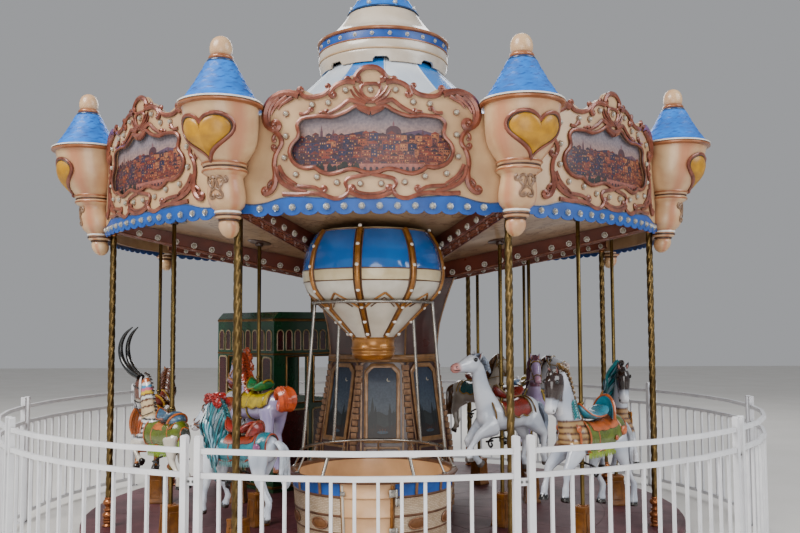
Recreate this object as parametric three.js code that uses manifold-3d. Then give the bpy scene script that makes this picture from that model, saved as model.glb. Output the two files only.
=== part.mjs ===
import * as THREE from "three";
import { mergeVertices } from "three/addons/utils/BufferGeometryUtils.js";
import Module from "manifold-3d";

const wasm = await Module();
wasm.setup();

// Children's carousel, in millimetres and degrees. Azimuth 0 is the front, along -Y, and grows toward +X.
const seatGap = 0.3;
const bays = 8;
const bayAngle = 360 / bays;

// Deck and ground frame
const deckTop = 120;
const deckThickness = 40;
const deckRadius = 2620;
const deckSkirtLow = 30;
const deckSkirtWall = 30;
const deckSides = 40;
const frameHubRadius = 260;
const frameRingRadius = 2290;
const frameBarWidth = 80;
const frameBarHeight = 60;

// Canopy: ceiling, beams, roof and cornice
const headRadius = 600;
const ceilingLow = 2300;
const ceilingRise = 0.175;
const ceilingThickness = 12;
const ceilingSides = 32;
const beamLow = 2165;
const beamRise = 0.201;
const beamWidth = 120;
const mastRadius = 150;
const roofTopRadius = 520;
const roofTop = 4106;
const roofThickness = 12;
const boardInner = 2430;
const boardOuter = 2470;
const boardLow = 2458;
const boardTop = 3145;
const boardHalfAngle = 22.4;
const boardSteps = 8;
const ceilingRadius = 2426.8;

// Support columns
const columnRing = 2400;
const columnRadius = 27;

// Turrets on the cornice corners
const turretRadius = 2616;
const turretLipHeight = 3170;
const turretLean = 0.145;

// Crown
const drumFoot = 4062;
const drumSkirt = 565;
const notchWidth = 110;
const notchHeight = 43;
const spireFoot = 4650;

// Animals on their poles
const innerRow = 1350;
const outerRow = 2100;
const poleRadius = 19;
const poleFoot = 262;
const poleAboveCeiling = 160;
const guideBore = 19.6;
const pedestalHeight = 265;
const pedestalFoot = 72;
const pedestalHead = 56;
const legSide = 62;

// Balloon car
const balloonRing = 1400;
const balloonAzimuth = -1.5;
const basketRadius = 620;
const basketFloor = 145;
const basketRim = 668;
const basketInside = 545;
const doorHalfAngle = 18.5;
const doorClearance = 5;
const hingeRadius = 640;
const knuckleRadius = 12;
const knuckleHeight = 60;
const strapLength = 34;
const strapThickness = 12;
const leafWidth = 80;
const leafOffset = 28;
const flangeRadius = 28;
const knuckleLows = [230, 490];
const hoopHeight = 1910;
const hoopRadius = 457;
const handrailHeight = 800;
const handrailRadius = 545;
const handrailEnd = 31;
const tubeRadius = 12.5;
const balusterRadius = 8;
const balusterRing = 607;
const balusterGaps = 10;

// Coach
const coachRing = 1600;
const coachAzimuth = -135;
const coachLength = 900;
const coachWidth = 1000;
const coachRoof = 1880;
const coachWall = 30;
const coachRound = 60;
const windowLow = 980;
const windowHigh = 1430;
const windowWidth = 250;
const doorwayWidth = 560;

// Fence
const fenceRadius = 3235;
const fencePanels = 10;
const fencePitch = 34;
const fenceFirstJoint = -120;
const fencePostSize = 38;
const fencePostHeight = 1100;
const fenceRailHeights = [81, 886, 1023];
const picketCount = 13;
const picketSize = 18;
const plateLength = 60;
const platePlace = 850;

const radians = THREE.MathUtils.degToRad;

function toSolid(geometry) {
  const bare = geometry.clone();
  bare.deleteAttribute("normal");
  bare.deleteAttribute("uv");
  const merged = mergeVertices(bare, 0.005);
  const index = merged.index.array;
  const triVerts = [];
  for (let i = 0; i < index.length; i += 3) {
    const [a, b, c] = [index[i], index[i + 1], index[i + 2]];
    if (a !== b && b !== c && c !== a) triVerts.push(a, b, c);
  }
  return new wasm.Manifold(new wasm.Mesh({
    numProp: 3,
    vertProperties: Float32Array.from(merged.attributes.position.array),
    triVerts: Uint32Array.from(triVerts),
  }));
}

function toGeometry(solid) {
  const { vertProperties, triVerts } = solid.getMesh();
  const geometry = new THREE.BufferGeometry();
  geometry.setAttribute("position", new THREE.Float32BufferAttribute(vertProperties, 3));
  geometry.setIndex(Array.from(triVerts));
  geometry.computeVertexNormals();
  return geometry;
}

function join(geometries) {
  return geometries.map(toSolid).reduce((sum, next) => sum.add(next));
}

function box(width, depth, height, x, y, z) {
  return new THREE.BoxGeometry(width, depth, height).translate(x, y, z);
}

// Turns a closed profile of [radius, height] points about the Z axis
function turn(profile, sides, firstAngle = 0) {
  const points = profile.map(([radius, height]) => new THREE.Vector2(radius, height));
  return new THREE.LatheGeometry(points, sides, radians(firstAngle)).rotateX(Math.PI / 2);
}

function cylinder(radius, low, high, sides) {
  return turn([[0, low], [radius, low], [radius, high], [0, high]], sides);
}

// Extrudes an outline of [x, y] points upward from a height
function raise(outline, low, high) {
  const shape = new THREE.Shape(outline.map(([x, y]) => new THREE.Vector2(x, y)));
  const geometry = new THREE.ExtrudeGeometry(shape, { depth: high - low, bevelEnabled: false });
  return geometry.translate(0, 0, low);
}

// Extrudes an outline of [x, z] points along Y
function across(outline, near, far) {
  const shape = new THREE.Shape(outline.map(([x, z]) => new THREE.Vector2(x, z)));
  const geometry = new THREE.ExtrudeGeometry(shape, { depth: far - near, bevelEnabled: false });
  return geometry.rotateX(Math.PI / 2).translate(0, far, 0);
}

function ringPoint(radius, azimuth) {
  return [radius * Math.sin(radians(azimuth)), -radius * Math.cos(radians(azimuth))];
}

// A curved bar between two azimuths, centred on the Z axis
function arcBar(inner, outer, low, high, from, to, steps) {
  const outline = [];
  for (let i = 0; i <= steps; i++) outline.push(ringPoint(outer, from + ((to - from) * i) / steps));
  for (let i = steps; i >= 0; i--) outline.push(ringPoint(inner, from + ((to - from) * i) / steps));
  return raise(outline, low, high);
}

function rod(start, end, radius, sides) {
  const from = new THREE.Vector3(...start);
  const along = new THREE.Vector3(...end).sub(from);
  const geometry = new THREE.CylinderGeometry(radius, radius, along.length(), sides);
  geometry.translate(0, along.length() / 2, 0);
  const tilt = new THREE.Quaternion().setFromUnitVectors(new THREE.Vector3(0, 1, 0), along.clone().normalize());
  return geometry.applyQuaternion(tilt).translate(from.x, from.y, from.z);
}

// A closed skin through oval stations [x, y, z, half height, half width] that run mostly along X or Z
function sweep(stations, sides) {
  const last = stations.length - 1;
  const geometry = new THREE.CylinderGeometry(1, 1, 1, sides, last);
  const position = geometry.attributes.position;
  const across = new THREE.Vector3(0, 1, 0);
  for (let i = 0; i < position.count; i++) {
    const step = Math.round((0.5 - position.getY(i)) * last);
    const [x, y, z, tall, wide] = stations[step];
    const before = stations[Math.max(step - 1, 0)];
    const after = stations[Math.min(step + 1, last)];
    const back = new THREE.Vector3(before[0] - after[0], 0, before[2] - after[2]).normalize();
    const upright = back.cross(across);
    const reach = position.getX(i) * tall;
    position.setXYZ(i, x + upright.x * reach, y + position.getZ(i) * wide, z + upright.z * reach);
  }
  return geometry;
}

function ceilingHeight(radius) {
  return ceilingLow + ceilingRise * (radius - headRadius);
}

function beamHeight(radius) {
  return beamLow + beamRise * (radius - headRadius);
}

function groundFrame() {
  const half = frameBarWidth / 2;
  const inner = frameRingRadius - half;
  const outer = frameRingRadius + half;
  const pieces = [
    turn([[inner, 0], [outer, 0], [outer, frameBarHeight], [inner, frameBarHeight], [inner, 0]], 24),
    cylinder(frameHubRadius, 0, deckTop - deckThickness - seatGap, 16),
  ];
  const spokeStart = frameHubRadius - frameBarWidth * 2;
  const spokeLength = frameRingRadius - spokeStart;
  for (let i = 0; i < bays; i++) {
    const middle = -(frameRingRadius + spokeStart) / 2;
    const spoke = box(frameBarWidth, spokeLength, frameBarHeight, 0, middle, frameBarHeight / 2);
    pieces.push(spoke.rotateZ(radians(i * bayAngle)));
  }
  return toGeometry(join(pieces));
}

function deck(riders) {
  const low = deckTop - deckThickness;
  const sunk = 10;
  const plate = turn([[0, low], [deckRadius - deckSkirtWall, low], [deckRadius - deckSkirtWall, deckSkirtLow],
    [deckRadius, deckSkirtLow], [deckRadius, deckTop], [0, deckTop]], deckSides);
  const pedestals = riders.map(({ ring, azimuth }) => {
    const [x, y] = ringPoint(ring, azimuth);
    const height = pedestalHeight + sunk;
    const [head, foot] = [pedestalHead * Math.SQRT2, pedestalFoot * Math.SQRT2];
    const geometry = new THREE.CylinderGeometry(head, foot, height, 4);
    geometry.rotateY(Math.PI / 4).rotateX(Math.PI / 2).rotateZ(radians(azimuth));
    return geometry.translate(x, y, deckTop - sunk + height / 2);
  });
  const bores = riders.map(({ ring, azimuth }) => {
    const [x, y] = ringPoint(ring, azimuth);
    const bore = cylinder(guideBore, deckTop, deckTop + pedestalHeight + sunk, 6);
    return bore.rotateZ(radians(azimuth)).translate(x, y, 0);
  });
  return toGeometry(join([plate, ...pedestals]).subtract(join(bores)));
}

function centreCladding() {
  const profile = [[0, deckTop + seatGap], [650, deckTop + seatGap], [660, 230], [650, 700], [560, 1150],
    [515, 1460], [545, 1750], [625, 2000], [690, beamLow - seatGap], [0, beamLow - seatGap]];
  return turn(profile, bays, bayAngle / 2);
}

// A radial beam, or with an allowance the space that other pieces leave free for it
function beam(azimuth, allowance) {
  const inner = 400;
  const half = beamWidth / 2 + allowance;
  const rise = -allowance * 1.1;
  const outline = [[inner, beamHeight(headRadius) + rise], [headRadius, beamHeight(headRadius) + rise],
    [ceilingRadius, beamHeight(ceilingRadius) + rise], [ceilingRadius, ceilingHeight(ceilingRadius) - seatGap],
    [headRadius, ceilingLow - seatGap], [inner, ceilingLow - seatGap]];
  return across(outline, -half, half).rotateZ(radians(azimuth - 90));
}

function canopyFrame() {
  const under = ceilingLow - seatGap;
  const plate = roofTopRadius - seatGap;
  const head = turn([[0, beamLow], [headRadius, beamLow], [headRadius, under], [mastRadius, under],
    [mastRadius, roofTop - 60], [plate, roofTop - 40], [plate, roofTop], [0, roofTop]], 24);
  const pieces = [head];
  for (let i = 0; i < bays; i++) pieces.push(beam((i + 0.5) * bayAngle, 0));
  return toGeometry(join(pieces));
}

function ceiling(riders) {
  const inner = headRadius + seatGap;
  const low = ceilingHeight(inner);
  const high = ceilingHeight(ceilingRadius);
  const panel = turn([[inner, low], [ceilingRadius, high], [ceilingRadius, high + ceilingThickness],
    [inner, low + ceilingThickness], [inner, low]], ceilingSides);
  const bores = riders.map(({ ring, azimuth }) => {
    const [x, y] = ringPoint(ring, azimuth);
    const bore = cylinder(guideBore, ceilingLow, ceilingHeight(ring) + 2 * ceilingThickness, 6);
    return bore.rotateZ(radians(azimuth)).translate(x, y, 0);
  });
  return toGeometry(toSolid(panel).subtract(join(bores)));
}

// The canopy sags from a steep throat under the crown to a flat eave behind the cornice
function roofHeight(radius) {
  const run = radius - roofTopRadius;
  return roofTop - 1.08 * run + 0.000252 * run * run;
}

function roofCanopy() {
  const radii = [roofTopRadius, 760, 1120, 1650, ceilingRadius];
  const upper = radii.map((radius) => [radius, roofHeight(radius)]);
  const lower = radii.map((radius) => [radius, roofHeight(radius) - roofThickness]);
  return turn([...lower, ...upper.reverse(), lower[0]], 24);
}

// The cornice board of one bay: a curved slab cut to the outline of its crest
function roundingBoard() {
  const crest = [[725, boardTop], [715, 3190], [690, 3240], [607, 3278], [475, 3308], [382, 3256], [260, 3306],
    [160, 3380], [80, 3426], [0, 3442]];
  const edge = boardOuter * Math.sin(radians(boardHalfAngle)) + 10;
  const right = [[edge, boardLow - 10], [edge, boardTop], ...crest];
  const left = right.slice(0, -1).map(([x, z]) => [-x, z]).reverse();
  const outline = across([...right, ...left], -boardOuter - 10, -boardInner * 0.9);
  const slab = arcBar(boardInner, boardOuter, boardLow, 3500, -boardHalfAngle, boardHalfAngle, boardSteps);
  return toGeometry(toSolid(slab).intersect(toSolid(outline)));
}

function turret() {
  const profile = [[0, 2322], [67, 2390], [85, 2447], [85, 2505], [125, 2560], [125, 2728], [150, 2752],
    [150, 2815], [235, 2960], [250, turretLipHeight], [280, 3180], [280, 3208], [177, 3333], [93, 3476],
    [80, 3505], [72, 3600], [0, 3666]];
  const body = turn(profile, 10, 18);
  const position = body.attributes.position;
  for (let i = 0; i < position.count; i++) {
    const drop = Math.max(turretLipHeight - position.getZ(i), 0);
    position.setY(i, position.getY(i) - turretRadius + turretLean * drop);
  }
  const half = bayAngle / 4;
  const reach = boardOuter + 2 * seatGap;
  const behind = arcBar(outerRow, reach, ceilingLow, boardTop + seatGap, -half, half, boardSteps / 2);
  return toGeometry(toSolid(body).subtract(toSolid(behind)));
}

function supportColumn() {
  const top = beamHeight(columnRing - columnRadius) - seatGap;
  const profile = [[0, deckTop + seatGap], [48, deckTop + seatGap], [50, 235], [34, 262], [34, 286], [46, 310],
    [columnRadius, 345], [columnRadius, top], [0, top]];
  return turn(profile, 8).translate(0, -columnRing, 0);
}

function crownDrum() {
  const profile = [[0, roofTop + seatGap], [drumSkirt, roofTop + seatGap], [drumSkirt, drumFoot],
    [583, drumFoot], [603, 4190], [606, 4340], [620, 4352], [615, 4372], [500, 4440], [409, 4530],
    [325, spireFoot], [0, spireFoot]];
  const notches = [];
  for (let i = 0; i < bays; i++) {
    const notch = box(notchWidth, 60, notchHeight, 0, -(drumSkirt + 25), drumFoot + notchHeight / 2 - 1);
    notches.push(notch.rotateZ(radians(i * bayAngle)));
  }
  return toGeometry(toSolid(turn(profile, 24)).subtract(join(notches)));
}

function crownSpire() {
  const low = spireFoot + seatGap;
  const profile = [[0, low], [335, low], [335, 4664], [249, 4780], [170, 4910], [110, 5110], [98, 5145],
    [90, 5240], [0, 5322]];
  return turn(profile, 16);
}

// Balloon car, modelled about its own axis and then moved to its ring
function basketWall() {
  const wall = turn([[0, deckTop + seatGap], [565, deckTop + seatGap], [basketRadius, 640], [635, 642],
    [635, basketRim], [585, basketRim], [540, basketFloor], [0, basketFloor]], 24);
  return toSolid(wall);
}

function doorWedge(halfAngle, low) {
  const reach = 900;
  const outline = [[0, 0], ringPoint(reach, -halfAngle), ringPoint(reach, halfAngle)];
  return toSolid(raise(outline, low, basketRim + 50));
}

// Lift-off hinge halves: the basket carries the lower knuckle of each pair and the door the upper one
function knuckles(side, lift) {
  const [x, y] = ringPoint(hingeRadius, doorHalfAngle);
  const pieces = knuckleLows.flatMap((first) => {
    const low = first + lift;
    const middle = low + knuckleHeight / 2;
    const strap = box(strapLength, strapThickness, knuckleHeight, (side * strapLength) / 2, 0, middle);
    const leaf = box(strapThickness, leafWidth, knuckleHeight, side * leafOffset, strapLength, middle);
    const turned = [strap, leaf].map((piece) => piece.rotateZ(radians(doorHalfAngle)).translate(x, y, 0));
    return [cylinder(knuckleRadius, low, low + knuckleHeight, 8).translate(x, y, 0), ...turned];
  });
  return join(pieces);
}

function basket() {
  const inside = toSolid(cylinder(basketInside, 0, basketRim, 24));
  const hinge = knuckles(1, 0).subtract(inside);
  return toGeometry(basketWall().subtract(doorWedge(doorHalfAngle, basketFloor + 15)).add(hinge));
}

function basketDoor() {
  const gapAngle = THREE.MathUtils.radToDeg(doorClearance / basketRadius);
  const inside = toSolid(cylinder(basketInside, 0, basketRim, 24));
  const leaf = basketWall().intersect(doorWedge(doorHalfAngle - gapAngle, basketFloor + 20));
  return toGeometry(leaf.add(knuckles(-1, knuckleHeight + seatGap).subtract(inside)));
}

function balloonFrame() {
  const hoop = new THREE.TorusGeometry(hoopRadius, tubeRadius, 5, 20).translate(0, 0, hoopHeight);
  const handrail = arcBar(handrailRadius - tubeRadius, handrailRadius + tubeRadius, handrailHeight - tubeRadius,
    handrailHeight + tubeRadius, handrailEnd, 360 - handrailEnd, 16);
  const pieces = [hoop, handrail];
  for (const azimuth of [95, 140, -140, -95]) {
    const low = [...ringPoint(handrailRadius, azimuth), handrailHeight];
    const high = [...ringPoint(hoopRadius, azimuth), hoopHeight];
    pieces.push(rod(low, high, tubeRadius, 5));
  }
  const first = handrailEnd + 1.3;
  for (let i = 0; i <= balusterGaps; i++) {
    const azimuth = first + ((360 - 2 * first) * i) / balusterGaps;
    const atEnd = i % balusterGaps === 0;
    const low = [...ringPoint(balusterRing, azimuth), basketRim - 20];
    const high = [...ringPoint(handrailRadius, azimuth), handrailHeight];
    pieces.push(rod(low, high, atEnd ? tubeRadius : balusterRadius, atEnd ? 6 : 4));
    if (atEnd) pieces.push(cylinder(flangeRadius, basketRim, basketRim + 10, 8).translate(low[0], low[1], 0));
  }
  const floor = toSolid(box(2000, 2000, 100, 0, 0, basketRim + seatGap - 50));
  return toGeometry(join(pieces).subtract(floor));
}

function balloonEnvelope() {
  const profile = [[0, 1473], [140, 1473], [163, 1540], [163, 1630], [215, 1700], [423, 1910], [520, 2010],
    [541, 2130], [515, 2290], [440, 2440], [330, 2560], [0, 2600]];
  const body = toSolid(turn(profile, 16).translate(0, -balloonRing, 0));
  const reach = 2600;
  const low = 1300;
  const under = turn([[0, low], [reach, low], [reach, ceilingHeight(reach) - seatGap],
    [headRadius, ceilingLow - seatGap], [0, ceilingLow - seatGap]], ceilingSides);
  under.rotateZ(radians(-balloonAzimuth));
  const beams = [-0.5, 0.5].map((bay) => beam(bay * bayAngle - balloonAzimuth, seatGap));
  return toGeometry(body.intersect(toSolid(under)).subtract(join(beams)));
}

function coach() {
  const low = deckTop + seatGap;
  const floor = low + 40;
  const halfLength = coachLength / 2;
  const halfWidth = coachWidth / 2;
  const eave = coachRoof - coachRound;
  const shell = across([[-halfLength, low], [halfLength, low], [halfLength, eave],
    [halfLength - coachRound, coachRoof], [coachRound - halfLength, coachRoof], [-halfLength, eave]],
  -halfWidth, halfWidth);
  const head = coachRoof - 50;
  const inside = [coachLength - 2 * coachWall, coachWidth - 2 * coachWall];
  const cabin = box(...inside, head - floor, 0, 0, (floor + head) / 2);
  const sill = (windowLow + windowHigh) / 2;
  const cuts = [cabin, box(doorwayWidth, 200, windowHigh - floor, 0, -halfWidth, (windowHigh + floor) / 2)];
  for (const side of [-1, 1]) {
    cuts.push(box(windowWidth, 200, windowHigh - windowLow, side * 170, halfWidth, sill));
    cuts.push(box(200, doorwayWidth, windowHigh - windowLow, side * halfLength, 0, sill));
  }
  return toGeometry(toSolid(shell).subtract(join(cuts)));
}

// Legs run from shoulder or hip to hoof, the outer one of a pair first; each list is one way of carrying them
const legPoses = {
  gallop: {
    front: [
      [[205, -70], [350, -110], [440, -200], [440, -285]],
      [[195, -70], [330, -170], [245, -290], [190, -345]],
    ],
    hind: [
      [[-215, -40], [-350, -150], [-330, -300], [-365, -380]],
      [[-200, -40], [-285, -195], [-250, -330], [-290, -410]],
    ],
  },
  prance: {
    front: [
      [[205, -70], [320, -120], [400, -220], [350, -330]],
      [[195, -70], [230, -230], [260, -360], [275, -480]],
    ],
    hind: [
      [[-215, -40], [-260, -200], [-370, -320], [-360, -465]],
      [[-200, -40], [-180, -210], [-255, -335], [-205, -465]],
    ],
  },
  canter: {
    front: [
      [[205, -70], [300, -175], [322, -290], [330, -372]],
      [[195, -70], [330, -165], [372, -285], [385, -365]],
    ],
    hind: [
      [[-215, -40], [-290, -200], [-385, -335], [-370, -485]],
      [[-190, -40], [-110, -190], [-215, -335], [-185, -460]],
    ],
  },
  leap: {
    front: [
      [[195, -60], [370, -95], [265, -210], [190, -250]],
      [[205, -50], [385, -10], [485, -90], [515, -172]],
    ],
    hind: [
      [[-215, -40], [-240, -200], [-345, -310], [-345, -420]],
      [[-200, -40], [-190, -210], [-290, -320], [-290, -430]],
    ],
  },
  trot: {
    front: [
      [[205, -70], [235, -230], [262, -360], [275, -470]],
      [[195, -70], [200, -230], [140, -340], [180, -435]],
    ],
    hind: [
      [[-215, -40], [-230, -210], [-315, -345], [-285, -475]],
      [[-200, -40], [-150, -210], [-225, -345], [-190, -475]],
    ],
  },
};

// Necks run from the withers to the poll and on down the face to the muzzle
const headPoses = {
  level: [[190, 40], [256, 190], [292, 380], [385, 400], [535, 368]],
  tucked: [[190, 40], [270, 180], [282, 335], [355, 300], [412, 190]],
  bowed: [[190, 40], [248, 215], [292, 412], [396, 388], [402, 205]],
  lowered: [[190, 40], [225, 170], [240, 265], [325, 225], [452, 106]],
  arched: [[190, 40], [232, 240], [268, 455], [398, 420], [390, 205]],
};
const neckSizes = [[96, 66], [78, 48], [70, 44], [64, 46], [42, 34]];
const horn = [[390, 20, 450, 22, 16], [525, 30, 545, 20, 15], [612, 36, 640, 17, 13], [622, 36, 745, 14, 12],
  [555, 32, 845, 10, 9], [440, 27, 905, 5, 5]];

function leg(points, side, hind) {
  const sizes = hind ? [[85, 52], [48, 32], [24, 20], [33, 28]] : [[62, 45], [38, 28], [22, 20], [33, 28]];
  return sweep(points.map(([x, z], i) => [x, side * legSide, z, ...sizes[i]]), 4);
}

function animal({ legs, carriage, horns }) {
  const pieces = [
    sweep([[-310, 0, 35, 50, 45], [-225, 0, 15, 106, 92], [-20, 0, 0, 96, 88], [170, 0, 4, 110, 96],
      [270, 0, 30, 60, 55]], 8),
    sweep(headPoses[carriage].map(([x, z], i) => [x, 0, z, ...neckSizes[i]]), 6),
  ];
  if (horns) {
    for (const side of [-1, 1]) {
      pieces.push(sweep(horn.map(([x, y, z, across, deep]) => [x, side * y, z, across, deep]), 4));
    }
    pieces.push(sweep([[-290, 0, 50, 26, 24], [-340, 0, 10, 22, 20], [-345, 0, -70, 10, 10]], 4));
  } else {
    pieces.push(sweep([[-290, 0, 50, 28, 26], [-385, 0, 0, 42, 36], [-410, 0, -240, 16, 14]], 4));
  }
  const poseLegs = legPoses[legs];
  poseLegs.front.forEach((points, i) => pieces.push(leg(points, i === 0 ? 1 : -1, false)));
  poseLegs.hind.forEach((points, i) => pieces.push(leg(points, i === 0 ? 1 : -1, true)));
  return pieces;
}

// A figure's size is a factor, its reach how far it sits forward on its pole, its turn how far it faces outward
function riderGeometry(rider) {
  const { size, reach, turned, height } = rider;
  const figure = animal(rider).map((piece) => {
    return piece.scale(size, size, size).translate(reach, 0, 0).rotateZ(radians(turned));
  });
  const foot = poleFoot - height;
  const top = ceilingHeight(rider.ring) + poleAboveCeiling - height;
  return toGeometry(join([...figure, cylinder(poleRadius, foot, top, 6)]));
}

// One fence panel of upright pickets under two top rails, curved to the ring; a plate ties it to the next
function fencePanel(hasPlate) {
  const postAngle = THREE.MathUtils.radToDeg(fencePostSize / fenceRadius);
  const half = fencePitch / 2 - postAngle * 1.2;
  const pieces = fenceRailHeights.map((height) => {
    return arcBar(fenceRadius - 13, fenceRadius + 13, height - 15, height + 15, -half, half, 4);
  });
  for (const side of [-1, 1]) {
    const post = box(fencePostSize, fencePostSize, fencePostHeight, 0, -fenceRadius, fencePostHeight / 2);
    pieces.push(post.rotateZ(radians(side * half)));
  }
  const [bottom, second] = fenceRailHeights;
  for (let i = 1; i <= picketCount; i++) {
    const picket = box(picketSize, picketSize, second - bottom, 0, -fenceRadius + 3, (second + bottom) / 2);
    pieces.push(picket.rotateZ(radians(-half + (2 * half * i) / (picketCount + 1))));
  }
  if (hasPlate) {
    const far = -fencePostSize / 2 - seatGap;
    const plate = box(plateLength, 8, 44, far - plateLength / 2, -fenceRadius, platePlace);
    pieces.push(plate.rotateZ(radians(fencePitch - half)));
  }
  return toGeometry(join(pieces));
}

// Heights are those at which the photographed figures hang on their cranks, at the middle of each torso
const innerFigures = [
  { azimuth: 47, legs: "gallop", carriage: "level", height: 1000, size: 1.14, reach: -50, turned: -5 },
  { azimuth: 92, legs: "prance", carriage: "tucked", height: 1060, size: 1, reach: 0, turned: 0 },
  { azimuth: 136, legs: "gallop", carriage: "tucked", height: 1040, size: 1, reach: 0, turned: 0 },
  { azimuth: 180, legs: "prance", carriage: "tucked", height: 1000, size: 1, reach: 0, turned: 0 },
  { azimuth: -92, legs: "gallop", carriage: "tucked", height: 1030, size: 1, reach: 0, turned: 0 },
  { azimuth: -48, legs: "prance", carriage: "tucked", height: 1080, size: 1.06, reach: 0, turned: 0 },
];
const outerFigures = [
  { azimuth: 47, legs: "canter", carriage: "bowed", height: 880, size: 1.18, reach: -95, turned: -6 },
  { azimuth: 88, legs: "gallop", carriage: "bowed", height: 865, size: 1.15, reach: 0, turned: 0 },
  { azimuth: 135, legs: "prance", carriage: "level", height: 930, size: 1.08, reach: 0, turned: 0 },
  { azimuth: 180, legs: "gallop", carriage: "level", height: 900, size: 1.08, reach: 0, turned: 0 },
  { azimuth: -27.5, legs: "trot", carriage: "lowered", height: 860, size: 1, reach: 0, turned: 0 },
  { azimuth: -91, legs: "gallop", carriage: "tucked", height: 900, size: 1.08, reach: 0, turned: 0 },
];
const antelope = {
  name: "antelope", ring: outerRow, azimuth: -49, legs: "leap", carriage: "arched", horns: true,
  height: 900, size: 0.92, reach: 125, turned: 8,
};
const riders = [
  ...innerFigures.map((figure, i) => ({ ...figure, name: `inner_horse_${i + 1}`, ring: innerRow })),
  ...outerFigures.map((figure, i) => ({ ...figure, name: `outer_horse_${i + 1}`, ring: outerRow })),
  antelope,
];

const carousel = new THREE.Group();

function add(name, geometry, color, roughness, metalness, azimuth = 0) {
  const mesh = new THREE.Mesh(geometry, new THREE.MeshStandardMaterial({ color, roughness, metalness }));
  mesh.name = name;
  mesh.rotation.z = radians(azimuth);
  carousel.add(mesh);
  return mesh;
}

function addAt(name, geometry, color, roughness, metalness, ring, azimuth, turned = 0) {
  const mesh = add(name, geometry, color, roughness, metalness, azimuth + turned);
  const [x, y] = ringPoint(ring, azimuth);
  mesh.position.set(x, y, 0);
  return mesh;
}

add("ground_frame", groundFrame(), 0x55585c, 0.6, 0.5);
add("deck", deck(riders), 0x4f2226, 0.6, 0);
add("centre_cladding", centreCladding(), 0x5a2322, 0.5, 0);
add("canopy_frame", canopyFrame(), 0x6a2a20, 0.5, 0);
add("ceiling", ceiling(riders), 0xd8c7a4, 0.7, 0);
add("roof_canopy", roofCanopy(), 0xe8eef4, 0.5, 0);
add("crown_drum", crownDrum(), 0xeadcc0, 0.4, 0);
add("crown_spire", crownSpire(), 0x1d7fd0, 0.4, 0);

for (let i = 0; i < bays; i++) {
  add(`rounding_board_${i + 1}`, roundingBoard(), 0xe3cda6, 0.4, 0, i * bayAngle);
  add(`turret_${i + 1}`, turret(), 0xe9c9a2, 0.4, 0, (i + 0.5) * bayAngle);
  add(`support_column_${i + 1}`, supportColumn(), 0x8a6a24, 0.35, 0.9, (i + 0.5) * bayAngle);
}

addAt("balloon_basket", basket(), 0xe7b98a, 0.45, 0, balloonRing, balloonAzimuth);
addAt("basket_door", basketDoor(), 0xe7b98a, 0.45, 0, balloonRing, balloonAzimuth);
addAt("balloon_frame", balloonFrame(), 0xb9bcc0, 0.2, 1, balloonRing, balloonAzimuth);
add("balloon_envelope", balloonEnvelope(), 0x1560c0, 0.25, 0, balloonAzimuth);
addAt("coach", coach(), 0x14582f, 0.4, 0, coachRing, coachAzimuth);

for (const rider of riders) {
  const mesh = addAt(rider.name, riderGeometry(rider), 0xf2efe8, 0.35, 0, rider.ring, rider.azimuth, 180);
  mesh.position.z = rider.height;
}

for (let i = 0; i < fencePanels; i++) {
  const centre = fenceFirstJoint + (i + 0.5) * fencePitch;
  add(`fence_panel_${i + 1}`, fencePanel(i < fencePanels - 1), 0xf4f4f6, 0.4, 0.1, centre);
}

export default carousel;
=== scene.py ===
import bmesh
import bpy
import math
import random
from mathutils import Matrix, Vector, noise


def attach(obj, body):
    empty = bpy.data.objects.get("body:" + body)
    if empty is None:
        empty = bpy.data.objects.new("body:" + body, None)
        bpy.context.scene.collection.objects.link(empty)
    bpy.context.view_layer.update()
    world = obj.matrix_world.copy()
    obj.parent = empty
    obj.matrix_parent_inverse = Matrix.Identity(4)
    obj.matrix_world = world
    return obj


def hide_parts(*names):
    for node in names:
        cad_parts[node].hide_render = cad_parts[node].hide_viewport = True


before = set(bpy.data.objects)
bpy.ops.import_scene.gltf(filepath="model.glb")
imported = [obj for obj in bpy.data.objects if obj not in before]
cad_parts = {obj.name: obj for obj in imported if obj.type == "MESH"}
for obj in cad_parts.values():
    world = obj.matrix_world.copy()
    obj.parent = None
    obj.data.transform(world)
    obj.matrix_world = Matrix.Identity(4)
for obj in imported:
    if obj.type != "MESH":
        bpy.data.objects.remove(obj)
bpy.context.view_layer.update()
print("frame loaded")

# Blender works in metres; the sizes below are in millimetres and go through the shape builders
# Azimuth 0 is the front along -Y and grows toward +X
bayCount = 8
bayAngle = 360 / bayCount
# Points closer than these, in metres, are one: on a cut, on a turned piece and along a strand
cutWeld = 0.00001
turnWeld = 0.00005
strandWeld = 0.00003


def toLinear(hexText):
    linear = []
    for i in (0, 2, 4):
        value = int(hexText[i:i + 2], 16) / 255
        linear.append(value / 12.92 if value <= 0.04045 else ((value + 0.055) / 1.055) ** 2.4)
    return (*linear, 1)


def addNode(tree, kind, settings):
    made = tree.nodes.new(kind)
    for name, value in settings.items():
        if isinstance(value, bpy.types.NodeSocket):
            tree.links.new(value, made.inputs[name])
        elif isinstance(name, int) or name in made.inputs:
            made.inputs[name].default_value = toLinear(value) if isinstance(value, str) else value
        else:
            setattr(made, name, value)
    return made


def perMetre(millimetres):
    return 1000 / millimetres  # texture scale from a real size


def blended(tree, amount, first, second, kind="MIX"):
    return addNode(tree, "ShaderNodeMix", {
        "data_type": "RGBA", "blend_type": kind, 0: amount, 6: first, 7: second}).outputs[2]


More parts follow.
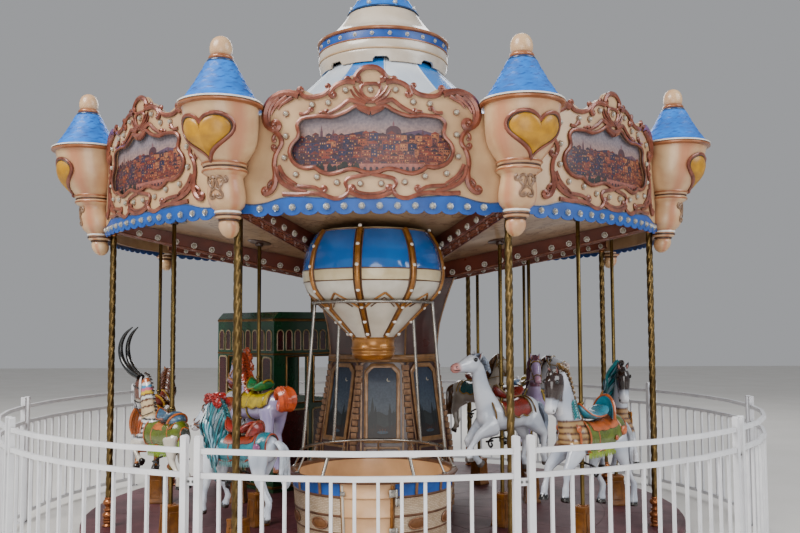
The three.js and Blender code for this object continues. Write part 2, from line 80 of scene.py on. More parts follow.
def finish(name, look, pattern=None):
    # One material: two mottled tones, an optional pattern, painted shade in crevices, fine bump and varied
    # gloss
    material = bpy.data.materials.new(name)
    material.use_nodes = True
    tree = material.node_tree
    tree.nodes.clear()
    place = addNode(tree, "ShaderNodeTexCoord", {}).outputs["Object"]
    cloud = addNode(tree, "ShaderNodeTexNoise", {
        "Scale": perMetre(look.get("mottle", 160)), "Detail": 4.0, "Vector": place})
    spread = addNode(tree, "ShaderNodeMapRange", {0: cloud.outputs[0], 1: 0.35, 2: 0.65})
    colour = blended(tree, spread.outputs[0], look["base"], look["shade"])
    if pattern:
        colour = pattern(tree, colour)
    # Painted shade: ambient occlusion darkens crevices and recesses toward a dark colour, within the reach in
    # millimetres
    if look.get("creviceShade"):
        reach = look.get("reach", 40) / 1000
        crevice = addNode(tree, "ShaderNodeAmbientOcclusion", {"samples": 4, "Distance": reach})
        closed = addNode(tree, "ShaderNodeMapRange", {
            0: crevice.outputs["AO"], 1: 1.0, 2: 0.25, 4: look["creviceShade"]})
        colour = blended(tree, closed.outputs[0], colour, look.get("creviceShadeColour", "3a2a1e"))
    fine = addNode(tree, "ShaderNodeTexNoise", {
        "Scale": perMetre(look.get("grain", 6)), "Detail": 3.0, "Vector": place})
    bumped = addNode(tree, "ShaderNodeBump", {
        "Strength": look.get("bump", 0.12), "Distance": 0.002, "Height": fine.outputs[0]})
    rough = look.get("rough", 0.3)
    gloss = addNode(tree, "ShaderNodeMapRange", {
        0: cloud.outputs[0], 3: max(rough - 0.1, 0.04), 4: rough + 0.1})
    shader = addNode(tree, "ShaderNodeBsdfPrincipled", {
        "Base Color": colour, "Roughness": gloss.outputs[0], "Normal": bumped.outputs[0],
        "Metallic": look.get("metal", 0.0), "Coat Weight": look.get("coat", 0.0), "Coat Roughness": 0.08,
        "Transmission Weight": look.get("clear", 0.0)})
    addNode(tree, "ShaderNodeOutputMaterial", {0: shader.outputs[0]})
    return material


def chart(tree):
    # A piece's own UV map holds metres: across in x, height in y
    source = addNode(tree, "ShaderNodeUVMap", {"uv_map": "chart"})
    parts = addNode(tree, "ShaderNodeSeparateXYZ", {0: source.outputs[0]})
    return parts.outputs[0], parts.outputs[1]


def within(tree, value, low, high, soft):
    # 1 where the value lies between low and high, with soft edges
    rise = addNode(tree, "ShaderNodeMapRange", {0: value, 1: low - soft, 2: low + soft})
    fall = addNode(tree, "ShaderNodeMapRange", {0: value, 1: high - soft, 2: high + soft, 3: 1.0, 4: 0.0})
    return addNode(tree, "ShaderNodeMath", {
        "operation": "MULTIPLY", 0: rise.outputs[0], 1: fall.outputs[0]}).outputs[0]


# Shape builders: each returns a bmesh in metres from sizes in millimetres

def turned(profile, steps=48, close=False):
    bm = bmesh.new()
    line = [bm.verts.new((radius / 1000, 0, height / 1000)) for radius, height in profile]
    pairs = list(zip(line, line[1:] + line[:1] if close else line[1:]))
    edges = [bm.edges.new(pair) for pair in pairs]
    bmesh.ops.spin(
        bm, geom=line + edges, cent=(0, 0, 0), axis=(0, 0, 1), angle=math.tau, steps=steps,
        use_merge=True)
    bmesh.ops.remove_doubles(bm, verts=bm.verts, dist=turnWeld)
    bmesh.ops.recalc_face_normals(bm, faces=bm.faces)
    return bm


def cutAt(bm, place, normal, clear=False):
    # Cuts every face along the plane through a place; clear drops what lies beyond it
    geom = bm.verts[:] + bm.edges[:] + bm.faces[:]
    bmesh.ops.bisect_plane(bm, geom=geom, plane_co=place, plane_no=normal, dist=cutWeld, clear_outer=clear)


def arc(x, z, wide, tall, angles):
    return [(x + wide * math.cos(math.radians(a)), z + tall * math.sin(math.radians(a))) for a in angles]


def slab(outline, front, back, strip=0, holes=()):
    # A flat plate in the XZ plane from y = front to y = back, cut into strips so that it can be bent
    bm = bmesh.new()
    edges = []
    for loop in (outline, *holes):
        verts = [bm.verts.new((x / 1000, front / 1000, z / 1000)) for x, z in loop]
        edges += [bm.edges.new(pair) for pair in zip(verts, verts[1:] + verts[:1])]
    bmesh.ops.triangle_fill(bm, use_beauty=True, use_dissolve=False, edges=edges)
    grown = bmesh.ops.extrude_face_region(bm, geom=bm.faces[:])["geom"]
    moving = [v for v in grown if isinstance(v, bmesh.types.BMVert)]
    bmesh.ops.translate(bm, vec=(0, (back - front) / 1000, 0), verts=moving)
    if strip:
        low = min(x for x, z in outline)
        high = max(x for x, z in outline)
        for i in range(1, int((high - low) / strip) + 1):
            cutAt(bm, ((low + i * strip) / 1000, 0, 0), (1, 0, 0))
    bmesh.ops.recalc_face_normals(bm, faces=bm.faces)
    return bm


def softened(bm, size, segments=1, sharper=40):
    # Bevels the edges that are sharper than an angle
    edges = [e for e in bm.edges if e.is_manifold and e.calc_face_angle(0) > math.radians(sharper)]
    bmesh.ops.bevel(
        bm, geom=edges, offset=size / 1000, segments=segments, profile=0.5, affect="EDGES", material=-1,
        clamp_overlap=True)
    return bm


def smoothPath(points, steps):
    # Catmull-Rom through points with any number of values each
    made = []
    for i in range(len(points) - 1):
        a, b, c, d = points[max(i - 1, 0)], points[i], points[i + 1], points[min(i + 2, len(points) - 1)]
        for k in range(steps):
            t = k / steps
            made.append(tuple(0.5 * (2 * q + (r - p) * t + (2 * p - 5 * q + 4 * r - s) * t * t
                                     + (3 * q - p - 3 * r + s) * t ** 3) for p, q, r, s in zip(a, b, c, d)))
    return made + [tuple(points[-1])]


def strands(lines, sides=6, flatten=1.0, steps=4):
    # Round strands through points (x, y, z, radius), capped at both ends
    curve = bpy.data.curves.new("strands", "CURVE")
    curve.dimensions = "3D"
    curve.bevel_depth = 1
    curve.bevel_resolution = max(sides // 2 - 2, 0)
    curve.use_fill_caps = True
    for line in lines:
        points = smoothPath(line, steps) if steps > 1 else line
        spline = curve.splines.new("POLY")
        spline.points.add(len(points) - 1)
        for target, (x, y, z, radius) in zip(spline.points, points):
            target.co = (x / 1000, y / 1000, z / 1000, 1)
            target.radius = max(radius, 0.4) / 1000
    holder = bpy.data.objects.new("strands", curve)
    mesh = bpy.data.meshes.new_from_object(holder)
    bm = bmesh.new()
    bm.from_mesh(mesh)
    bmesh.ops.remove_doubles(bm, verts=bm.verts, dist=strandWeld)
    if flatten != 1.0:
        bmesh.ops.scale(bm, vec=(1, flatten, 1), verts=bm.verts)
    bmesh.ops.recalc_face_normals(bm, faces=bm.faces)
    bpy.data.objects.remove(holder)
    bpy.data.curves.remove(curve)
    bpy.data.meshes.remove(mesh)
    return bm


def volute(path, radius, turns):
    # Carries a flat path on into a curl; a positive radius turns left of its heading
    (x0, z0), (x1, z1) = path[-2], path[-1]
    heading = math.atan2(z1 - z0, x1 - x0)
    side = 1 if radius > 0 else -1
    centreX = x1 - math.sin(heading) * radius
    centreZ = z1 + math.cos(heading) * radius
    steps = max(int(turns * 7), 3)
    ends = []
    for i in range(1, steps + 1):
        reach = abs(radius) * (1 - 0.75 * i / steps)
        turn = heading - side * math.pi / 2 + side * math.tau * turns * i / steps
        ends.append((centreX + reach * math.cos(turn), centreZ + reach * math.sin(turn)))
    return path + ends


def scrolls(strokes, lift=4, flatten=0.85, sides=6, steps=3, mirrored=True):
    # Flat ornament from strokes: points, first and last radius, and a curl (radius, turns) or None
    lines = []
    for points, first, last, curl in strokes:
        path = volute(points, *curl) if curl else points
        size = [first + (last - first) * i / (len(path) - 1) for i in range(len(path))]
        if curl:
            size[-1] = max(first, last) * 0.95
        for side in (1, -1) if mirrored else (1,):
            lines.append([(side * x, -lift / flatten, z, r) for (x, z), r in zip(path, size)])
    return strands(lines, sides, flatten, steps)


def thickened(strokes, factor):
    return [(points, first * factor, last * factor, curl) for points, first, last, curl in strokes]


def bend(bm, radius):
    # Bends a flat piece round the Z axis with its front at -Y; y = 0 goes to the radius
    for vert in bm.verts:
        angle = vert.co.x * 1000 / radius
        reach = radius / 1000 - vert.co.y
        vert.co = (reach * math.sin(angle), -reach * math.cos(angle), vert.co.z)
    return bm


def charted(bm, radius=0):
    # Writes the chart: flat pieces by x and z, turned pieces by arc length at a radius
    layer = bm.loops.layers.uv.new("chart")
    period = math.tau * radius / 1000
    for face in bm.faces:
        places = [loop.vert.co for loop in face.loops]
        across = [radius / 1000 * math.atan2(co.x, -co.y) if radius else co.x for co in places]
        high = max(across)
        for loop, u, co in zip(face.loops, across, places):
            loop[layer].uv = (u + period if radius and high - u > period / 2 else u, co.z)
    return bm


def outward(azimuth, radius=0, height=0, tilt=0):
    # From a piece modelled at the origin with its front at -Y to its place on a ring
    turn = Matrix.Rotation(math.radians(azimuth), 4, "Z")
    shift = Matrix.Translation((0, -radius / 1000, height / 1000))
    return turn @ shift @ Matrix.Rotation(math.radians(tilt), 4, "X")


def scattered(source, matrices):
    # Many copies of one small shape in one bmesh
    mesh = bpy.data.meshes.new("scattered")
    source.to_mesh(mesh)
    bm = bmesh.new()
    for matrix in matrices:
        before = len(bm.verts)
        bm.from_mesh(mesh)
        bm.verts.ensure_lookup_table()
        bmesh.ops.transform(bm, matrix=matrix, verts=bm.verts[before:])
    bpy.data.meshes.remove(mesh)
    return bm


def moved(bm, matrix):
    bmesh.ops.transform(bm, matrix=matrix, verts=bm.verts)
    return bm


def joined(parts, sharpAngle=38):
    # One mesh from (bmesh, material) pairs; a list of materials goes by the faces' own numbers
    whole = bmesh.new()
    materials = []
    for bm, given in parts:
        choices = given if isinstance(given, list) else [given]
        materials += [m for m in choices if m not in materials]
        if "chart" not in bm.loops.layers.uv:
            bm.loops.layers.uv.new("chart")
        for face in bm.faces:
            chosen = choices[face.material_index if isinstance(given, list) else 0]
            face.material_index = materials.index(chosen)
            face.smooth = True
        part = bpy.data.meshes.new("part")
        bm.to_mesh(part)
        bm.free()
        whole.from_mesh(part)
        bpy.data.meshes.remove(part)
    mesh = bpy.data.meshes.new("piece")
    whole.to_mesh(mesh)
    whole.free()
    for material in materials:
        mesh.materials.append(material)
    mesh.set_sharp_from_angle(angle=math.radians(sharpAngle))
    return mesh


def addPiece(name, mesh, body, replaced=(), matrix=None):
    if matrix:
        mesh = mesh.copy()
        mesh.transform(matrix)
    mesh.name = name
    piece = bpy.data.objects.new(name, mesh)
    bpy.context.scene.collection.objects.link(piece)
    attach(piece, body)
    if replaced:
        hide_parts(*replaced)
    return piece


def dress(material, *names):
    # Puts a material on CAD nodes that keep their shape
    for name in names:
        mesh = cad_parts[name].data
        mesh.materials.clear()
        mesh.materials.append(material)


def lampShape(collar, glass, steps=7):
    # A small round lamp: painted collar ring and a glass dome, facing -Y
    ring = turned([
        (glass + 1, 0), (collar, 0), (collar * 0.94, collar * 0.28), (glass + 1, collar * 0.2)], steps)
    dome = turned([
        (glass, 0), (glass * 1.08, glass * 0.5), (glass * 0.72, glass * 1.15), (0, glass * 1.45)], steps)
    face = Matrix.Rotation(math.radians(90), 4, "X")
    return moved(ring, face), moved(dome, face)


# Finishes, each named for the real surface

def paintedSideShade(tree, colour):
    # Painted shade: copper-pink down both sides of a turned piece, fading toward the front
    across = chart(tree)[0]
    aside = addNode(tree, "ShaderNodeMath", {"operation": "ABSOLUTE", 0: across})
    strip = within(tree, aside.outputs[0], turret["shadeFrom"], turret["shadeTo"], 0.035)
    weak = addNode(tree, "ShaderNodeMath", {"operation": "MULTIPLY", 0: strip, 1: 0.75})
    return blended(tree, weak.outputs[0], colour, "b3704f")


def painted(tree, colour):
    # The mesh's own paint, with the mottle over it
    paint = addNode(tree, "ShaderNodeAttribute", {"attribute_name": "paint"})
    return blended(tree, 0.55, paint.outputs[0], colour, "MULTIPLY")


def printed(tree, colour):
    # The same on the printed town, with the deep shadows of an ink print
    return addNode(tree, "ShaderNodeGamma", {0: painted(tree, colour), 1: 1.4}).outputs[0]


turret = {"ring": 2616, "lipHeight": 3170, "lean": 0.145, "scaleRows": 6, "scaleCount": 11, "scaleLift": 7,
          "heartWide": 224, "heartTall": 150, "heartHeight": 2950, "heartBulge": 26,
          "shadeFrom": 0.2, "shadeTo": 0.31, "ornament": 1.7, "bodyRadius": 125, "heartRadius": 236}

# Gelcoat on laid-up glass fibre: smooth, glossy, slightly uneven in tone
creamGelcoat = finish("creamGelcoat", {
    "base": "c0a078", "shade": "ab8864", "rough": 0.38, "coat": 0.15, "mottle": 240, "creviceShade": 0.55,
    "creviceShadeColour": "8a5f45", "bump": 0.05})
turretGelcoat = finish("turretGelcoat", {
    "base": "cfae84", "shade": "ba8e68", "rough": 0.34, "coat": 0.25, "mottle": 190, "creviceShade": 0.6,
    "creviceShadeColour": "8f5a40", "bump": 0.04}, paintedSideShade)
crownGelcoat = finish("crownGelcoat", {
    "base": "d6cab8", "shade": "bfae98", "rough": 0.28, "coat": 0.5, "mottle": 300, "creviceShade": 0.4,
    "creviceShadeColour": "a98a6c", "bump": 0.04})
# Copper-bronze paint brushed over cast relief: satin, with painted shade making it nearly black in the
# hollows
copperPaint = finish("copperPaint", {
    "base": "8a4c38", "shade": "642f20", "rough": 0.32, "coat": 0.35, "metal": 0.25, "mottle": 60,
    "creviceShade": 0.95, "creviceShadeColour": "35190f", "reach": 30, "bump": 0.15})
copperEdge = finish("copperEdge", {
    "base": "a86c46", "shade": "87502f", "rough": 0.3, "coat": 0.3, "metal": 0.2, "mottle": 120,
    "creviceShade": 0.5, "creviceShadeColour": "5a3020", "bump": 0.08})
urnPaint = finish("urnPaint", {
    "base": "8d6f55", "shade": "6d5240", "rough": 0.4, "metal": 0.2, "mottle": 40, "creviceShade": 0.9,
    "creviceShadeColour": "2c1c12", "reach": 20, "bump": 0.15})
# Royal-blue enamel of the valance and bands, dulled by weather
valanceEnamel = finish("valanceEnamel", {
    "base": "0550a4", "shade": "043f88", "rough": 0.46, "coat": 0.05, "mottle": 120, "creviceShade": 0.6,
    "creviceShadeColour": "0b2a4e", "bump": 0.05})
whiteEnamel = finish("whiteEnamel", {
    "base": "eeeae2", "shade": "ddd5ca", "rough": 0.25, "coat": 0.5, "mottle": 80, "creviceShade": 0.5,
    "creviceShadeColour": "9a8470", "bump": 0.04})
darkLine = finish("darkLine", {
    "base": "4a2c1e", "shade": "38200f", "rough": 0.4, "mottle": 40, "bump": 0.1})
navyEnamel = finish("navyEnamel", {
    "base": "123a66", "shade": "0d2b4e", "rough": 0.3, "coat": 0.4, "mottle": 60, "bump": 0.05})
# Mustard-gold gelcoat of the hearts, speckled by wear
heartGelcoat = finish("heartGelcoat", {
    "base": "b88402", "shade": "9a6a02", "rough": 0.42, "coat": 0.1, "mottle": 70, "creviceShade": 0.6,
    "creviceShadeColour": "5e3f0c", "bump": 0.08})
# Printed vinyl on the cornice panels: satin, dusk colours kept in the mesh
printedPanel = finish("printedPanel", {
    "base": "d9c4b0", "shade": "8c7a74", "rough": 0.5, "coat": 0.2, "mottle": 18, "grain": 10,
    "bump": 0.04}, printed)
# Clear lamp glass over a pale socket
lampGlass = finish("lampGlass", {
    "base": "d4cdbc", "shade": "b8b09c", "rough": 0.14, "coat": 0.8, "clear": 0.45, "mottle": 20,
    "grain": 8, "bump": 0.02})
lampRing = finish("lampRing", {
    "base": "a98268", "shade": "88604a", "rough": 0.35, "coat": 0.3, "metal": 0.15, "mottle": 25,
    "creviceShade": 0.6, "creviceShadeColour": "6b5442", "bump": 0.05})
silverRing = finish("silverRing", {
    "base": "b9c4d4", "shade": "8e9db4", "rough": 0.25, "coat": 0.3, "metal": 0.5, "mottle": 25,
    "creviceShade": 0.5, "creviceShadeColour": "23405f", "bump": 0.05})
print("finishes ready")


# Cornice: curved boards with copper scrollwork, a printed panel in a cartouche, lamps and the blue valance

cornice = {
    "radius": 2470, "halfWidth": 964, "back": 40, "recess": 16, "strip": 44,
    "crest": [
        (725, 3145), (718, 3185), (700, 3225), (665, 3255), (607, 3278), (540, 3292), (475, 3304),
        (430, 3286), (382, 3262), (320, 3270), (260, 3300), (210, 3338), (160, 3366), (118, 3380),
        (84, 3418), (44, 3438), (0, 3442)],
    "cartouche": [
        (0, 3150), (50, 3160), (100, 3172), (145, 3145), (200, 3120), (260, 3105), (325, 3113),
        (395, 3110), (462, 3098), (492, 3058), (480, 3008), (492, 2968), (525, 2935), (545, 2880),
        (522, 2820), (475, 2782), (415, 2767), (370, 2772), (335, 2745), (275, 2725), (210, 2735),
        (150, 2753), (100, 2753), (55, 2737), (0, 2727)],
    "lamps": [
        (0, 3280), (165, 3280), (280, 3200), (390, 3190), (570, 3140), (570, 2990), (580, 2845),
        (500, 2730), (355, 2708), (222, 2668), (68, 2658)], "lampCollar": 25, "lampGlass": 17,
    "valanceTop": [
        (0, 2566), (200, 2566), (350, 2572), (500, 2584), (600, 2578), (700, 2552), (800, 2542),
        (880, 2552), (964, 2562)], "carving": 1.28, "valanceLow": 2458, "valanceNotch": 2486,
    "valanceLamps": 14, "valanceStep": 116}

# Points are measured from the bay's middle line and the ground
corniceStrokes = [
    ([(0, 3432), (40, 3427), (78, 3400), (98, 3368)], 15, 14, (-16, 0.8)),
    ([(0, 3320), (35, 3320), (63, 3300), (60, 3262), (35, 3228), (0, 3215)], 10, 10, None),
    ([(52, 3318), (65, 3330), (85, 3338), (104, 3352)], 9, 8, (12, 0.9)),
    ([(15, 3200), (55, 3230), (90, 3265), (112, 3305)], 13, 6, None),
    ([(30, 3190), (80, 3218), (112, 3247), (132, 3285)], 12, 5, None),
    ([(35, 3180), (100, 3203), (140, 3213), (180, 3183), (225, 3153), (280, 3128)], 14, 8, (14, 0.9)),
    ([(100, 3330), (160, 3337), (220, 3318), (258, 3284), (265, 3258)], 15, 12, (-17, 1.1)),
    ([(135, 3352), (150, 3366), (168, 3356), (162, 3338)], 9, 8, (-9, 0.7)),
    ([(268, 3290), (300, 3262), (345, 3245), (405, 3240), (450, 3252), (478, 3284)], 14, 12, (15, 1.0)),
    ([(300, 3262), (280, 3280), (272, 3304)], 12, 10, (-13, 0.9)),
    ([
        (480, 3256), (545, 3278), (615, 3272), (680, 3237), (714, 3182), (720, 3122), (702, 3072),
        (662, 3042)], 20, 19, (-30, 1.25)),
    ([(525, 3250), (562, 3226), (605, 3203), (628, 3172)], 14, 5, None),
    ([(565, 3257), (620, 3217), (660, 3177), (678, 3140)], 15, 6, None),
    ([(620, 3252), (672, 3205), (694, 3145), (688, 3088)], 15, 8, None),
    ([(662, 3040), (632, 3014), (607, 2982), (600, 2942), (620, 2905)], 15, 13, None),
    ([(628, 3010), (655, 2996), (662, 2970)], 9, 7, (-11, 0.9)),
    ([(620, 2905), (642, 2865), (652, 2800), (642, 2742), (650, 2688)], 13, 15, None),
    ([(628, 2902), (650, 2898), (664, 2914)], 10, 9, (12, 0.9)),
    ([(640, 2722), (645, 2672), (668, 2632), (700, 2612)], 17, 15, (20, 1.2)),
    ([(652, 2700), (676, 2690), (690, 2672)], 10, 7, (-10, 0.8)),
    ([(637, 2785), (626, 2722), (580, 2667), (510, 2632), (425, 2612)], 16, 11, None),
    ([(620, 2792), (592, 2742), (552, 2702), (500, 2670), (478, 2642)], 13, 5, None),
    ([(600, 2730), (560, 2690), (520, 2662), (500, 2625)], 11, 5, None),
    ([(560, 2672), (520, 2648), (480, 2640), (455, 2652)], 10, 5, None),
    ([(490, 2650), (425, 2646), (365, 2638), (318, 2612)], 11, 10, (-19, 1.2)),
    ([
        (590, 2604), (480, 2595), (385, 2601), (305, 2586), (240, 2562), (182, 2570), (147, 2600),
        (136, 2632)], 13, 12, (17, 1.1)),
    ([(162, 2614), (110, 2589), (55, 2571), (0, 2569)], 12, 13, None),
    ([(136, 2640), (85, 2606), (40, 2595), (0, 2591)], 9, 8, None),
    ([(6, 2722), (60, 2711), (110, 2701), (150, 2690), (166, 2660), (146, 2626)], 12, 10, (-14, 0.9)),
    ([(475, 3134), (440, 3130), (415, 3145), (405, 3162)], 10, 9, (11, 0.9)),
    ([(262, 3122), (300, 3140), (330, 3138)], 8, 6, (-9, 0.8)),
    ([(100, 3180), (60, 3152), (0, 3134)], 10, 22, None),
    ([(92, 3186), (50, 3196), (0, 3200)], 9, 10, None)]


def flatPicture():
    # A bmesh and a function that adds flat coloured faces to it, in layers half a millimetre apart
    bm = bmesh.new()
    paint = bm.loops.layers.float_color.new("paint")

    def patch(outline, layer, low, high=None):
        face = bm.faces.new([bm.verts.new((x / 1000, -layer * 0.0005, z / 1000)) for x, z in outline])
        top = max(z for x, z in outline) / 1000
        for loop in face.loops:
            loop[paint] = toLinear(high if high and loop.vert.co.z > top - 0.001 else low)

    return bm, patch


def facingFront(bm):
    bmesh.ops.recalc_face_normals(bm, faces=bm.faces)
    for face in bm.faces:
        if face.normal.y > 0:
            face.normal_flip()


def townscape(seed):
    # A made-up evening town: rows of gables under a dusk sky, a dome, spires and a quay wall
    rng = random.Random(seed)
    bm, patch = flatPicture()
    skies = ["c2a39c", "b8a6a6", "a9a3ad", "9a9cab", "8f94a6"]
    for i in range(4):
        z = 2960 + i * 55
        patch([(-560, z), (560, z), (560, z + 55), (-560, z + 55)], 0, skies[i], skies[i + 1])
    patch([(-560, 2700), (560, 2700), (560, 2960), (-560, 2960)], 0, "57425a", "c2a39c")
    hill = [(-560, 2930), (-420, 2985), (-250, 2975), (-60, 3010), (150, 2985), (330, 3020), (560, 2965)]
    patch([(-560, 2700), (560, 2700), *reversed(hill)], 1, "4c4266", "86708a")
    tones = ["5d4a6a", "7a5163", "8d5a5c", "a1624f", "b06f55", "6a4a5c", "4a4470", "93574c", "c08a6a"]
    for row in range(6):
        base = 2940 - row * 34
        x = -560 - rng.random() * 30
        while x < 560:
            wide = rng.uniform(26, 62)
            tall = rng.uniform(26, 58) - row
            warm = (x + 560) / 1120 + rng.uniform(-0.35, 0.35)
            tone = rng.choice(tones[2:5] + tones[7:] if warm > 0.5 else tones[:2] + tones[5:7])
            left, right, eave = x, x + wide, base + tall
            patch([(left, base - 60), (right, base - 60), (right, eave), (left, eave)], 2 + row * 2, tone)
            ridge = eave + wide * rng.uniform(0.2, 0.42)
            roof = rng.choice(["7b3b32", "8f4a38", "5c3342", "4a3550", "a35640"])
            patch([(left - 3, eave), (right + 3, eave), ((left + right) / 2, ridge)], 2.6 + row * 2, roof)
            for k in range(int(wide // 15)):
                paneX = left + 6 + k * 15
                for paneZ in (eave - 16, eave - 36):
                    glow = rng.choice(["e0b87a", "3a2f48", "c99a6a", "2c2740"])
                    patch([
                        (paneX, paneZ), (paneX + 6, paneZ), (paneX + 6, paneZ + 9), (paneX, paneZ + 9)],
                    2.9 + row * 2, glow)
            x = right + rng.uniform(0, 3)
    # A dome with a lantern to the right of the middle, and two slim spires
    dome = arc(150, 3000, 52, 46, range(0, 181, 15))
    patch([(98, 2900), (202, 2900), *dome], 1.6, "6d4a5a", "a07a86")
    patch([(144, 3044), (156, 3044), (156, 3062), (150, 3080), (144, 3062)], 1.7, "a07a86")
    for x, tall in ((-330, 96), (-250, 70), (345, 66)):
        patch([
            (x - 9, 2930), (x + 9, 2930), (x + 9, 2960 + tall * 0.45), (x, 2960 + tall),
            (x - 9, 2960 + tall * 0.45)], 1.8, "6f4d60", "8e6a78")
    # Quay wall with an arcade along the front, and dark trees at the left
    patch([(-560, 2700), (560, 2700), (560, 2792), (-560, 2792)], 15, "a4706c", "c08a80")
    for x in range(-520, 540, 40):
        arch = arc(x, 2762, 10, 10, range(0, 181, 45))
        patch([(x - 10, 2738), (x + 10, 2738), *arch], 15.6, "4e2f45")
    for i in range(26):
        x = rng.uniform(-560, -60)
        size = rng.uniform(12, 24)
        crown = [
            (
                x + size * math.cos(math.radians(a)),
                2775 + rng.uniform(-20, 16) + size * math.sin(math.radians(a))) for a in range(
                0, 360, 45)]
        patch(crown, 16 + i * 0.02, rng.choice(["2c3036", "39403c", "453f3a"]), "5a5648")
    facingFront(bm)
    for x in range(-500, 560, 100):
        cutAt(bm, (x / 1000, 0, 0), (1, 0, 0))
    for side in (1, -1):
        geom = bm.verts[:] + bm.edges[:] + bm.faces[:]
        bmesh.ops.bisect_plane(bm, geom=geom, plane_co=(side * 0.555, 0, 0), plane_no=(side, 0, 0),
                               clear_outer=True)
    return bm


def lampsOnPlate(places, collar, glass, radius, proud):
    ring, dome = lampShape(collar, glass)
    spots = [outward(math.degrees(x / radius), radius + proud, z) for x, z in places]
    return scattered(ring, spots), scattered(dome, spots)


radius = cornice["radius"]
rightSide = [(0, 2500), (cornice["halfWidth"], 2500), (cornice["halfWidth"], 3145), *cornice["crest"]]
boardOutline = rightSide + [(-x, z) for x, z in reversed(rightSide) if x > 0]
opening = smoothPath(cornice["cartouche"], 2)
opening = opening + [(-x, z) for x, z in reversed(opening) if x > 0.01]
front = slab(boardOutline, 0, cornice["recess"], cornice["strip"], [opening])
rear = slab(boardOutline, cornice["recess"] + 4, cornice["back"], cornice["strip"])
relief = scrolls(thickened(corniceStrokes, cornice["carving"]), lift=5, steps=2)
cartouche = cornice["cartouche"]
bandPath = [(x, -6, z, 15) for x, z in cartouche] + [
    (-x, -6, z, 15) for x, z in reversed(cartouche) if x > 0]
cartoucheBand = strands([bandPath + [bandPath[0]]], 8, 0.9, 2)
innerPath = [(x * 0.975, -9, 2940 + (z - 2940) * 0.955, 6) for x, y, z, r in bandPath]
innerBead = strands([innerPath + [innerPath[0]]], 6, 1.0, 2)
picture = moved(townscape(7), Matrix.Translation((0, (cornice["recess"] + 2) / 1000, 0)))
lampPlaces = cornice["lamps"] + [(-x, z) for x, z in cornice["lamps"] if x > 0]
rings, domes = lampsOnPlate(lampPlaces, cornice["lampCollar"], cornice["lampGlass"], radius, 0)
boardMesh = joined([
    (bend(charted(front), radius), creamGelcoat),
    (bend(charted(rear), radius), creamGelcoat),
    (bend(relief, radius), copperPaint),
    (bend(cartoucheBand, radius), copperPaint),
    (bend(innerBead, radius), darkLine),
    (bend(picture, radius), printedPanel),
    (rings, lampRing),
    (domes, lampGlass),
])

lobes = []
first = -(cornice["valanceLamps"] - 1) / 2
for i in range(cornice["valanceLamps"]):
    middle = (first + i) * cornice["valanceStep"]
    for k in range(7):
        turn = math.radians(-80 + k * 160 / 6)
        lobes.append((
            middle + 56 * math.sin(turn) / math.sin(math.radians(80)),
            cornice["valanceNotch"] - (cornice["valanceNotch"] - cornice["valanceLow"]) * math.cos(turn)))
reach = cornice["halfWidth"]
top = smoothPath(cornice["valanceTop"], 3)
top = [(x, z) for x, z in reversed(top)] + [(-x, z) for x, z in top if x > 0.01]
valancePlate = slab([(-reach, 2490), *lobes, (reach, 2490), *top], -7, 3, 58)
hem = strands([[(x, -8, z - 2, 5) for x, z in top]], 6, 0.8, 1)
valancePlaces = [((first + i) * cornice["valanceStep"], 2512) for i in range(cornice["valanceLamps"])]
rings, domes = lampsOnPlate(valancePlaces, 25, 17, radius + 8, 0)
valanceMesh = joined([
    (bend(charted(softened(valancePlate, 1.2)), radius), valanceEnamel),
    (bend(hem, radius), navyEnamel),
    (rings, silverRing),
    (domes, lampGlass),
])
for i in range(bayCount):
    turn = outward(i * bayAngle)
    addPiece(
        f"carved_board_{i + 1}", boardMesh, "turntable", [f"rounding_board_{i + 1}"],
        turn)
    addPiece(f"valance_{i + 1}", valanceMesh, "turntable", (), turn)
print("cornice done")


# Turrets on the cornice corners, modelled about their own axis with the heart toward -Y

turretProfile = [
    (0, 2322), (24, 2326), (47, 2344), (63, 2370), (69, 2396), (66, 2420), (57, 2438), (66, 2446),
    (84, 2452), (88, 2466), (84, 2478), (84, 2486), (88, 2494), (86, 2504), (96, 2512), (114, 2530),
    (125, 2556), (129, 2590), (126, 2640), (119, 2690), (118, 2720), (128, 2732), (146, 2744),
    (152, 2756), (150, 2768), (140, 2776), (139, 2786), (148, 2794), (152, 2806), (148, 2818),
    (160, 2836), (184, 2868), (208, 2906), (227, 2952), (238, 3010), (245, 3080), (251, 3150),
    (256, 3168)]
turretCone = [
    (262, 3206), (236, 3236), (206, 3280), (176, 3328), (146, 3382), (118, 3434), (97, 3478), (90, 3484)]


def leaned(bm):
    for vert in bm.verts:
        vert.co.y += turret["lean"] * max(turret["lipHeight"] / 1000 - vert.co.z, 0)
    return bm


def profileRadius(profile, height):
    for (r0, z0), (r1, z1) in zip(profile, profile[1:]):
        if z0 <= height <= z1 and z1 > z0:
            return r0 + (r1 - r0) * (height - z0) / (z1 - z0)
    return profile[-1][0]


def wrapped(bm, profile, middle):
    # Lays a flat piece (x across, y off the surface, z up) on a turned body
    for vert in bm.verts:
        x, y, z = vert.co * 1000
        reach = profileRadius(profile, z) - y
        angle = x / middle
        vert.co = (reach * math.sin(angle) / 1000, -reach * math.cos(angle) / 1000, z / 1000)
    return bm


